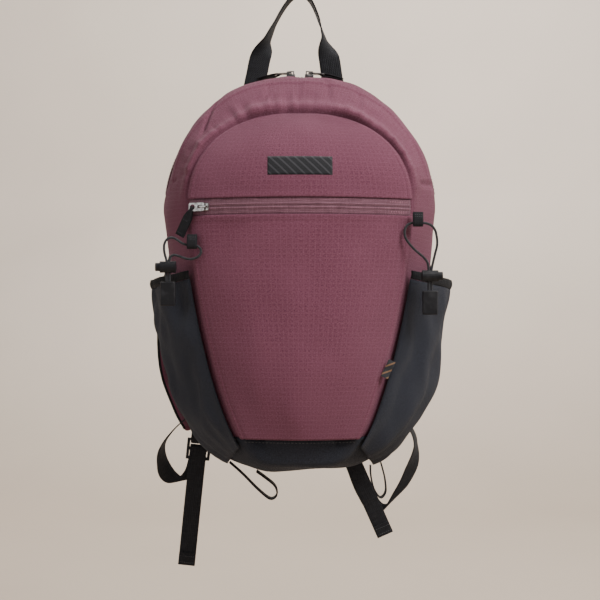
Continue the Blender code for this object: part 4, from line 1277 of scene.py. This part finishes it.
def side_tag():
    """A small folded tag sewn into the right front seam."""
    top = Vector((0.0925, SEAM_Y - 0.0055, -0.4000))
    down = Vector((-0.42, -0.06, -0.90)).normalized()
    side = down.cross(Vector((0, 1, 0))).normalized()
    points = [top + down * (0.0185 * k / 8) + Vector((0, -0.0006 * math.sin(k), 0)) for k in range(9)]
    piece = tape("side_tag", [(p, side, 0.0075) for p in points], 0.0008, TAG)
    mount(piece, "pack", "woven_label")


# ---------------------------------------------------------------- padded pieces


def inflated(name, source, paint, voxel, cap, inset=None):
    """Cloth simulation of a padded piece: remeshed, blown up a little, and each point's move capped."""
    remesh = source.modifiers.new("even", "REMESH")
    remesh.mode = "VOXEL"
    remesh.voxel_size = voxel
    mesh = bpy.data.meshes.new_from_object(source.evaluated_get(bpy.context.evaluated_depsgraph_get()))
    bpy.data.objects.remove(source)
    mesh.name = name
    mesh.materials.clear()
    piece = link(name, mesh, paint)
    before = [v.co.copy() for v in mesh.vertices]
    rim = piece.vertex_groups.new(name="sewn rim")
    rim.add([v.index for v in mesh.vertices if abs(v.normal.y) < 0.7], 1.0, "REPLACE")
    cloth = piece.modifiers.new("blow up", "CLOTH")
    cloth.settings.vertex_group_mass = rim.name
    cloth.settings.use_pressure = True
    cloth.settings.uniform_pressure_force = 4.0
    cloth.settings.effector_weights.gravity = 0.0
    for step in range(1, 21):
        bpy.context.scene.frame_set(step)
    shaped = piece.evaluated_get(bpy.context.evaluated_depsgraph_get()).to_mesh()
    after = [v.co.copy() for v in shaped.vertices]
    piece.modifiers.clear()
    piece.vertex_groups.clear()
    bpy.context.scene.frame_set(1)
    for vert, start, stop in zip(mesh.vertices, before, after):
        move = stop - start
        if move.length > cap:
            move = move.normalized() * cap
        vert.co = start + move
    if inset:
        for vert in mesh.vertices:
            vert.co = inset(vert.co)
    fine = piece.modifiers.new("fine", "SUBSURF")
    fine.levels = 1
    fine.render_levels = 1
    mesh.shade_smooth()
    return piece


STRAP_WIDTHS = (0.046, 0.052, 0.055, 0.055, 0.054, 0.050, 0.042, 0.028)
STRAP_ROUTES = {
    "left": [
        (0.036, 0.0100, -0.112),
        (0.058, 0.0150, -0.150),
        (0.086, 0.0190, -0.205),
        (0.114, 0.0210, -0.270),
        (0.132, 0.0220, -0.340),
        (0.138, 0.0220, -0.405),
        (0.128, 0.0220, -0.455),
        (0.1185, 0.0220, -0.4800),
    ],
    "right": [
        (0.036, 0.0100, -0.112),
        (0.060, 0.0150, -0.150),
        (0.088, 0.0190, -0.205),
        (0.112, 0.0210, -0.270),
        (0.127, 0.0220, -0.340),
        (0.127, 0.0220, -0.400),
        (0.105, 0.0220, -0.440),
        (0.0680, 0.0220, -0.4620),
    ],
}


def strap_stations(side, spacing):
    """Points down a shoulder strap, with the width direction in the XZ plane."""
    sign = SIDES[side]
    line = smooth_route([(x * sign, y, z) for x, y, z in STRAP_ROUTES[side]], spacing)
    last = len(line) - 1
    found = []
    for k, point in enumerate(line):
        place = k / last * (len(STRAP_WIDTHS) - 1)
        low = min(int(place), len(STRAP_WIDTHS) - 2)
        width = STRAP_WIDTHS[low] + (STRAP_WIDTHS[low + 1] - STRAP_WIDTHS[low]) * (place - low)
        along = line[min(k + 1, last)] - line[max(k - 1, 0)]
        found.append((point, Vector((-along.z, 0, along.x)).normalized(), width))
    return found


def shoulder_strap(side):
    """A padded strap: a blown-up cloth core, black binding round its edge, and a line of webbing on it."""
    stations = strap_stations(side, 0.004)
    work = bmesh.new()
    rings = []
    # The core runs a little past the last station, over the webbing that ties it to the adjuster
    end, across, width = stations[-1]
    past_end = end + (end - stations[-2][0]).normalized() * 0.004
    for point, across, width in stations + [(past_end, across, width)]:
        ring = []
        for k in range(24):
            turn = math.radians(15 * k)
            wide = math.copysign(abs(math.cos(turn)) ** 0.25, math.cos(turn)) * (width / 2 + 0.0006)
            deep = math.copysign(abs(math.sin(turn)) ** 0.6, math.sin(turn)) * 0.0034
            ring.append(work.verts.new(point + across * wide + Vector((0, deep, 0))))
        rings.append(ring)
    skin(work, rings)
    bmesh.ops.recalc_face_normals(work, faces=work.faces)
    core = finish_mesh("strap_core_" + side, work, MAROON_STRAP)
    pad = inflated("padded_strap_" + side, core, MAROON_STRAP, 0.0034, 0.0030)
    body = "strap_" + side
    mount(pad, body, "strap_cloth", "shoulder_strap_" + side)
    for edge in (-1, 1):
        out = Vector((0, 1, 0))
        rim = [(p + across * edge * (width / 2 - 0.0012), out, 0.0062) for p, across, width in stations]
        which = "inner" if edge * SIDES[side] < 0 else "outer"
        piece = tape("strap_binding_%s_%s" % (side, which), rim, 0.0030, BINDING)
        mount(piece, body, "strap_cloth")
    runs = []
    for edge in (-1, 1):
        for face in (-1, 1):
            out = Vector((0, face, 0))
            run = [(p + across * edge * (width / 2 - 0.0055), out) for p, across, width in stations]
            runs.append([(p + out * 0.0040, out) for p, out in run])
    mount(stitches("strap_stitching_" + side, runs, BLACK_THREAD), body, "strap_cloth")
    ladder = [(p + Vector((0, 0.0062, 0)), across, WEB_WIDTH) for p, across, width in stations[10:-14]]
    mount(tape("strap_daisy_webbing_" + side, ladder, 0.0012, WEBBING), body, "black_webbing")
    tacks = []
    for k in range(4, len(ladder) - 3, 9):
        p, across, width = ladder[k]
        out = Vector((0, 1, 0))
        tacks.append([(p - across * 0.0085 + out * 0.0008, out), (p + across * 0.0085 + out * 0.0008, out)])
    sewn = stitches("strap_bar_tacks_" + side, tacks, BLACK_THREAD, 0.0014, 0.0002, 0.0005)
    mount(sewn, body, "black_webbing")


def back_edge(place, shrink):
    """The back's outline, moved inwards a little, as (x, z)."""
    edge = outline(REAR, place).lerp(outline(FACE, place), REAR_TUCK)
    inwards = Vector((0, ARCH_Z - 0.05)) - edge
    return edge + inwards.normalized() * shrink


def channel(x, z):
    """How deep the back panel's sewn channels are at a point, from 0 to 1."""
    upright = ridge(x, 0.0, 0.014)
    across = max(ridge(z, level + 0.35 * abs(x), 0.010) for level in (-0.235, -0.315, -0.485))
    return max(upright, across * ease(abs(x), 0.0, 0.03))


def back_panel():
    """The padded back: blown up, then pressed in along its channels, with binding round its edge."""
    work = bmesh.new()
    places = [-2 + k / 30 for k in range(120)]
    loops = []
    for shrink, y in ((0.0035, 0.0012), (0.0025, 0.0030), (0.0025, 0.0070), (0.0050, 0.0096)):
        ring = [back_edge(place, shrink) for place in places]
        loops.append([work.verts.new((p.x, BACK_Y + GAP + y, p.y)) for p in ring])
    skin(work, loops)
    bmesh.ops.recalc_face_normals(work, faces=work.faces)
    core = finish_mesh("back_core", work, SPACER)

    def pressed(p):
        front = max(p.y, BACK_Y + GAP)
        face = ease(front, BACK_Y + 0.004, BACK_Y + 0.009)
        depth = front - face * channel(p.x, p.z) * 0.0055
        on_pad = abs(p.x) < LUMBAR_SIZE[0] / 2 + 0.004 and abs(p.z - LUMBAR_Z) < LUMBAR_SIZE[2] / 2 + 0.004
        ceiling = BACK_Y + GAP + BACK_PANEL + (0.0 if on_pad else 0.0025)
        return Vector((p.x, min(depth, ceiling), p.z))

    pad = inflated("padded_back", core, SPACER, 0.0045, 0.0050, pressed)
    mount(pad, "pack", "black_mesh", "back_panel")
    rim = []
    for k in range(241):
        p = back_edge(-2 + k / 60, 0.0010)
        q = back_edge(-2 + k / 60, 0.0110)
        across = Vector((q.x - p.x, 0, q.y - p.y)).normalized()
        rim.append((Vector(((p.x + q.x) / 2, BACK_Y + 0.0094, (p.y + q.y) / 2)), across, 0.0105))
    mount(tape("back_binding", rim, 0.0060, BINDING), "pack", "black_cloth")


def cushion(name, middle, size, paint, node, slot, cap, power=0.35):
    """A small rectangular pad with rounded corners, blown up."""
    work = bmesh.new()
    rings = []
    for shrink, y in ((0.0030, -0.48), (0.0012, -0.20), (0.0012, 0.20), (0.0050, 0.40)):
        ring = []
        for k in range(48):
            turn = math.radians(7.5 * k)
            x = math.copysign(abs(math.cos(turn)) ** power, math.cos(turn)) * (size[0] / 2 - shrink)
            z = math.copysign(abs(math.sin(turn)) ** power, math.sin(turn)) * (size[2] / 2 - shrink)
            ring.append(work.verts.new(Vector(middle) + Vector((x, y * size[1], z))))
        rings.append(ring)
    skin(work, rings)
    bmesh.ops.recalc_face_normals(work, faces=work.faces)
    core = finish_mesh(name + "_core", work, paint)
    floor = middle[1] - size[1] / 2 + GAP
    voxel = 0.004 if size[1] > 0.006 else 0.0022
    pad = inflated(name, core, paint, voxel, cap, lambda p: Vector((p.x, max(p.y, floor), p.z)))
    mount(pad, "pack", slot, node)
    return pad


def lumbar_and_yoke():
    """The lumbar pad, the yoke that holds the straps, and the stitching round the yoke."""
    rear = BACK_Y + GAP + BACK_PANEL + GAP
    lumbar = (0, rear + LUMBAR_SIZE[1] / 2, LUMBAR_Z)
    cushion("padded_lumbar", lumbar, LUMBAR_SIZE, SPACER, "lumbar_pad", "black_mesh", 0.004, 0.5)
    yoke = (0, rear + YOKE_SIZE[1] / 2, YOKE_Z)
    cushion("yoke_pad", yoke, YOKE_SIZE, BLACK, "strap_yoke", "black_cloth", 0.0015, 0.25)
    out = Vector((0, 1, 0))
    y = rear + YOKE_SIZE[1]
    runs = []
    for inset in (0.0035, 0.0065):
        half_x, half_z = YOKE_SIZE[0] / 2 - inset, YOKE_SIZE[2] / 2 - inset
        corners = rectangle(half_x, half_z)
        for (x0, z0), (x1, z1) in zip(corners, corners[1:]):
            runs.append([(Vector((x0, y, YOKE_Z + z0)), out), (Vector((x1, y, YOKE_Z + z1)), out)])
    mount(stitches("yoke_stitching", runs, BLACK_THREAD), "pack", "black_cloth")


# ---------------------------------------------------------------- webbing


def haul_loop():
    """The top loop that the pack hangs by, with sewn boxes at its feet."""
    left, right = HAUL_FEET["left"], HAUL_FEET["right"]
    route = [
        (left, 0.0026, -0.1080),
        (left + 0.001, 0.0026, -0.100),
        (left + 0.004, 0.0026, -0.086),
        (left + 0.010, 0.0015, -0.062),
        (-0.024, 0.0, -0.024),
        (-0.010, 0.0, -0.0035),
        (0.0, 0.0, 0.0008),
        (0.010, 0.0, -0.0035),
        (0.020, 0.0, -0.024),
        (right - 0.007, 0.0015, -0.062),
        (right - 0.003, 0.0026, -0.086),
        (right - 0.001, 0.0026, -0.100),
        (right, 0.0026, -0.1080),
    ]
    flat = [(1, 0, 0), (1, 0, 0), (1, 0.12, 0), (0.25, 1, 0)]
    across = flat + [(0, 1, 0)] * 5 + flat[::-1]
    stations = spaced(route, across, [HAUL_WIDTH] * 13)
    mount(tape("top_loop", stations, 0.0017, WEBBING), "pack", "black_webbing", "haul_loop")
    runs = box_run(stations, 0, 4, Vector((0, 0.0012, 0))) + box_run(stations, -5, -1, Vector((0, 0.0012, 0)))
    mount(stitches("top_loop_stitching", runs, BLACK_THREAD), "pack", "black_webbing")


POLE_LOOPS = {
    "left": {
        "route": [
            (-0.0745, -0.0600, -0.5105),
            (-0.0610, -0.0600, -0.5225),
            (-0.0440, -0.0600, -0.5395),
            (-0.0315, -0.0600, -0.5490),
            (-0.0245, -0.0600, -0.5450),
            (-0.0265, -0.0600, -0.5355),
            (-0.0370, -0.0600, -0.5265),
            (-0.0460, -0.0600, -0.5200),
        ],
        "widths": [0.010, 0.010, 0.011, 0.012, 0.013, 0.014, 0.015, 0.015],
    },
    "right": {
        "route": [
            (0.0745, -0.0600, -0.5140),
            (0.0750, -0.0600, -0.5250),
            (0.0785, -0.0600, -0.5390),
            (0.0850, -0.0600, -0.5480),
            (0.0905, -0.0600, -0.5420),
            (0.0900, -0.0600, -0.5290),
            (0.0875, -0.0600, -0.5180),
            (0.0855, -0.0600, -0.5110),
        ],
        "widths": [0.010] * 8,
    },
}


def pole_loops():
    """Webbing loops under the base for walking poles."""
    for side, facts in POLE_LOOPS.items():
        stations = spaced(facts["route"], [(0, 1, 0)] * 8, facts["widths"], 0.0022)
        loop = tape("walking_pole_loop_" + side, stations, 0.0016, WEBBING)
        mount(loop, "pole_loop_" + side, "black_webbing", "pole_loop_" + side)


# Each adjuster's middle and turn, and how webbing folds through it, in its own (y, z)
LADDERS = {"left": ((-0.1150, 0.0220, -0.5080), 6), "right": ((0.0500, 0.0220, -0.5000), -24)}
TIP_STEPS = [
    (0.0040, 0.0195),
    (0.0040, 0.0125),
    (0.0024, 0.0076),
    (0.0, 0.0067),
    (-0.0024, 0.0076),
    (-0.0040, 0.0125),
    (-0.0040, 0.0195),
]
TAIL_TOP_STEPS = [
    (0.0034, -0.0034),
    (0.0038, 0.0010),
    (0.0025, 0.0038),
    (0.0, 0.0046),
    (-0.0025, 0.0038),
    (-0.0038, 0.0010),
    (-0.0038, -0.0120),
]
TAIL_DROP = {
    "left": [(-0.0040, -0.040), (-0.0030, -0.075), (-0.0010, -0.110), (0.0, -0.132)],
    "right": [(-0.0040, -0.040), (-0.0030, -0.070), (-0.0010, -0.095), (0.0, -0.115)],
}
ANCHORS = {
    "left": {
        "route": [
            (-0.1020, -0.0120, -0.458),
            (-0.1200, -0.0010, -0.466),
            (-0.1430, 0.0045, -0.486),
            (-0.1560, 0.0120, -0.508),
            (-0.1520, 0.0220, -0.534),
            (-0.1380, 0.0262, -0.545),
            (-0.1230, 0.0262, -0.535),
            (-0.1165, 0.0258, -0.516),
        ],
        "across": [
            (0.3, 1, 0.1),
            (0.2, 1, 0.1),
            (0.1, 1, 0.1),
            (0.2, 1, 0.2),
            (0.5, 0.8, 0.3),
            (1, 0.3, 0.4),
            (1, 0, 0),
            (1, 0, 0),
        ],
    },
    "right": {
        "route": [
            (0.0980, -0.0120, -0.462),
            (0.1150, -0.0010, -0.471),
            (0.1290, 0.0050, -0.496),
            (0.1250, 0.0160, -0.530),
            (0.1080, 0.0230, -0.562),
            (0.0900, 0.0270, -0.578),
            (0.0740, 0.0275, -0.558),
            (0.0620, 0.0265, -0.530),
            (0.0530, 0.0258, -0.508),
        ],
        "across": [
            (0.3, 1, 0.1),
            (0.2, 1, 0.1),
            (0.3, 1, 0.1),
            (0.9, 0.4, 0.3),
            (1, 0.1, 0.5),
            (0.8, 0, 1),
            (1, 0, 0.3),
            (1, 0, 0),
            (1, 0, 0),
        ],
    },
}


def adjuster_webbing(side):
    """The webbing at an adjuster: strap tip, free tail with a folded end, and the run to the bag."""
    middle, turn = LADDERS[side]
    place = Matrix.Translation(middle) @ Matrix.Rotation(math.radians(turn), 4, "Y")
    across = (place.to_3x3() @ Vector((1, 0, 0))).normalized()
    steps = folded([place @ Vector((0, y, z)) for y, z in TIP_STEPS], across, [WEB_WIDTH] * 7)
    tip = tape("strap_tip_" + side, steps, 0.0014, WEBBING)
    mount(tip, "strap_" + side, "black_webbing", "strap_tip_web_" + side)
    strap = strap_stations(side, 0.004)
    join = [strap[-5][0], strap[-1][0], place @ Vector((0, 0, 0.0200)), place @ Vector((0, 0, 0.0120))]
    turns = [strap[-5][1], strap[-1][1], across, across]
    tab = tape("strap_end_tab_" + side, spaced(join, turns, [WEB_WIDTH] * 4), 0.0024, WEBBING)
    mount(tab, "strap_" + side, "black_webbing")
    steps = TAIL_TOP_STEPS + TAIL_DROP[side]
    tail = folded([place @ Vector((0, y, z)) for y, z in steps], across, [WEB_WIDTH] * 11, 6)
    body = "strap_tail_" + side
    mount(tape("webbing_tail_" + side, tail, 0.0014, WEBBING), body, "black_webbing", body)
    hem = [(p + place.to_3x3() @ Vector((0, -0.0015, 0)), s, w) for p, s, w in tail[-5:]]
    mount(tape("tail_hem_" + side, hem, 0.0014, WEBBING), body, "black_webbing")
    out = (place.to_3x3() @ Vector((0, -1, 0))).normalized()
    runs = []
    for index in (-4, -2):
        point, side_way = tail[index][:2]
        start = point + out * 0.0024
        runs.append([(start - side_way * 0.0085, out), (start + side_way * 0.0085, out)])
    mount(stitches("tail_stitching_" + side, runs, BLACK_THREAD, 0.0018, 0.0006), body, "black_webbing")
    facts = ANCHORS[side]
    stations = spaced(facts["route"], facts["across"], [WEB_WIDTH] * len(facts["route"]))
    anchor = tape("base_webbing_" + side, stations, 0.0014, WEBBING)
    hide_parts("anchor_webbing_" + side)
    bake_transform(anchor)


def keeper(side, facts):
    """A tape tab sewn to the front seam and folded round the cord."""
    x, z = facts["keeper"]
    steps = (
        (0.0026, 0.0110),
        (0.0030, 0.0050),
        (0.0030, 0.0),
        (0.0021, -0.0021),
        (0.0, -0.0030),
        (-0.0021, -0.0021),
        (-0.0030, 0.0),
        (-0.0030, 0.0050),
        (-0.0010, 0.0110),
    )
    points = [(x, CORD_Y + y, z + rise) for y, rise in steps]
    piece = tape("cord_tab_" + side, folded(points, Vector((1, 0, 0)), [KEEPER_WIDTH] * 9), 0.0010, WEBBING)
    mount(piece, "pack", "black_webbing", "cord_keeper_" + side)
    out = Vector((0, -1, 0))
    runs = []
    for rise in (0.0062, 0.0082):
        y = CORD_Y - 0.0034 + (rise - 0.005) * 0.33
        runs.append([(Vector((x - 0.004, y, z + rise)), out), (Vector((x + 0.004, y, z + rise)), out)])
    mount(stitches("tab_stitching_" + side, runs, BLACK_THREAD, 0.0016, 0.0004), "pack", "black_webbing")


# ---------------------------------------------------------------- frame, stage and lights


def frame_sheet():
    """The ribbed stiffening sheet behind the back panel."""
    rows = []
    places = [-2 + k / 30 for k in range(120)]
    for scale in (0.999, 0.9, 0.75, 0.6, 0.45, 0.3, 0.15, 0.02):
        row = []
        for place in places:
            edge = back_edge(place, 0.0062)
            x = edge.x * scale
            z = MIDDLE_Z + (edge.y - MIDDLE_Z) * scale
            rib = 0.0003 * math.sin(x * 700)
            row.append(Vector((x, BACK_Y - 0.0016 + rib, z)))
        rows.append(row)
    piece = cloth_grid("stiffener_sheet", rows, SHEET_PLASTIC, closed=True, thickness=0.0012, offset=0)
    mount(piece, "pack", "foam_sheet", "frame_sheet")


def hard_parts():
    """Procedural plastic and metal on the moulded and cast pieces, which keep their own shapes."""
    metal = ["front_zip_slider", "front_zip_puller", "lock_spring_left", "lock_spring_right"]
    dark = ["main_zip_%s_%s" % (side, part) for side in SIDES for part in ("slider", "puller")]
    moulded = ("cord_lock_", "lock_plunger_", "cord_end_", "ladder_lock_")
    plastic = [name + side for name in moulded for side in SIDES]
    for names, paint in ((metal, METAL), (dark, DARK_METAL), (plastic, PLASTIC)):
        for name in names:
            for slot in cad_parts[name].material_slots:
                slot.material = paint


def stage():
    """A pale sweep: floor below the pack, curving up far behind it."""
    profile = [(-8.0, 0.0), (1.6, 0.0)]
    for k in range(1, 25):
        turn = math.radians(90 * k / 24)
        profile.append((1.6 + 1.0 * math.sin(turn), 1.0 - 1.0 * math.cos(turn)))
    profile.append((2.6, 7.0))
    rows = [[Vector((x, y, z - 0.90)) for x in (-9.0, -4.0, 0.0, 4.0, 9.0)] for y, z in profile]
    floor = cloth_grid("studio_sweep", rows, BACKDROP)


def area_light(name, place, aim, size, power, colour):
    """A soft square light that shines at a point."""
    lamp = bpy.data.lights.new(name, "AREA")
    lamp.shape = "SQUARE"
    lamp.size = size
    lamp.energy = power
    lamp.color = colour
    made = bpy.data.objects.new(name, lamp)
    bpy.context.scene.collection.objects.link(made)
    made.location = place
    made.rotation_euler = (Vector(aim) - Vector(place)).to_track_quat("-Z", "Y").to_euler()


def lights():
    """Soft light from the upper right, a weaker fill from the left and behind, and pale surroundings."""
    area_light("key", (1.3, -1.2, 1.3), (0, 0, -0.35), 1.1, 84, (1.0, 0.98, 0.96))
    area_light("fill", (-1.7, -1.4, 0.1), (0, 0, -0.40), 1.6, 9, (0.95, 0.97, 1.0))
    area_light("rear", (-0.6, 2.0, 0.9), (0, 0, -0.35), 1.6, 24, (1.0, 0.98, 0.96))
    area_light("wall", (0.6, 0.7, 1.7), (0.2, 2.6, -0.1), 1.8, 70, (1.0, 0.98, 0.95))
    world = bpy.data.worlds.new("surroundings")
    world.use_nodes = True
    world.node_tree.nodes["Background"].inputs["Color"].default_value = (0.80, 0.77, 0.74, 1)
    world.node_tree.nodes["Background"].inputs["Strength"].default_value = 0.62
    bpy.context.scene.world = world


def main():
    """Everything in the scene, with the camera and the cords first."""
    camera()
    for side, facts in BUNGEE.items():
        bungee_cord(side, facts)
    stage()
    lights()
    shell()
    front_panels()
    base_details()
    front_zip()
    main_zip()
    pulls()
    side_pockets()
    label()
    side_tag()
    back_panel()
    lumbar_and_yoke()
    frame_sheet()
    haul_loop()
    pole_loops()
    for side, facts in BUNGEE.items():
        keeper(side, facts)
        shoulder_strap(side)
        adjuster_webbing(side)
    hard_parts()


main()
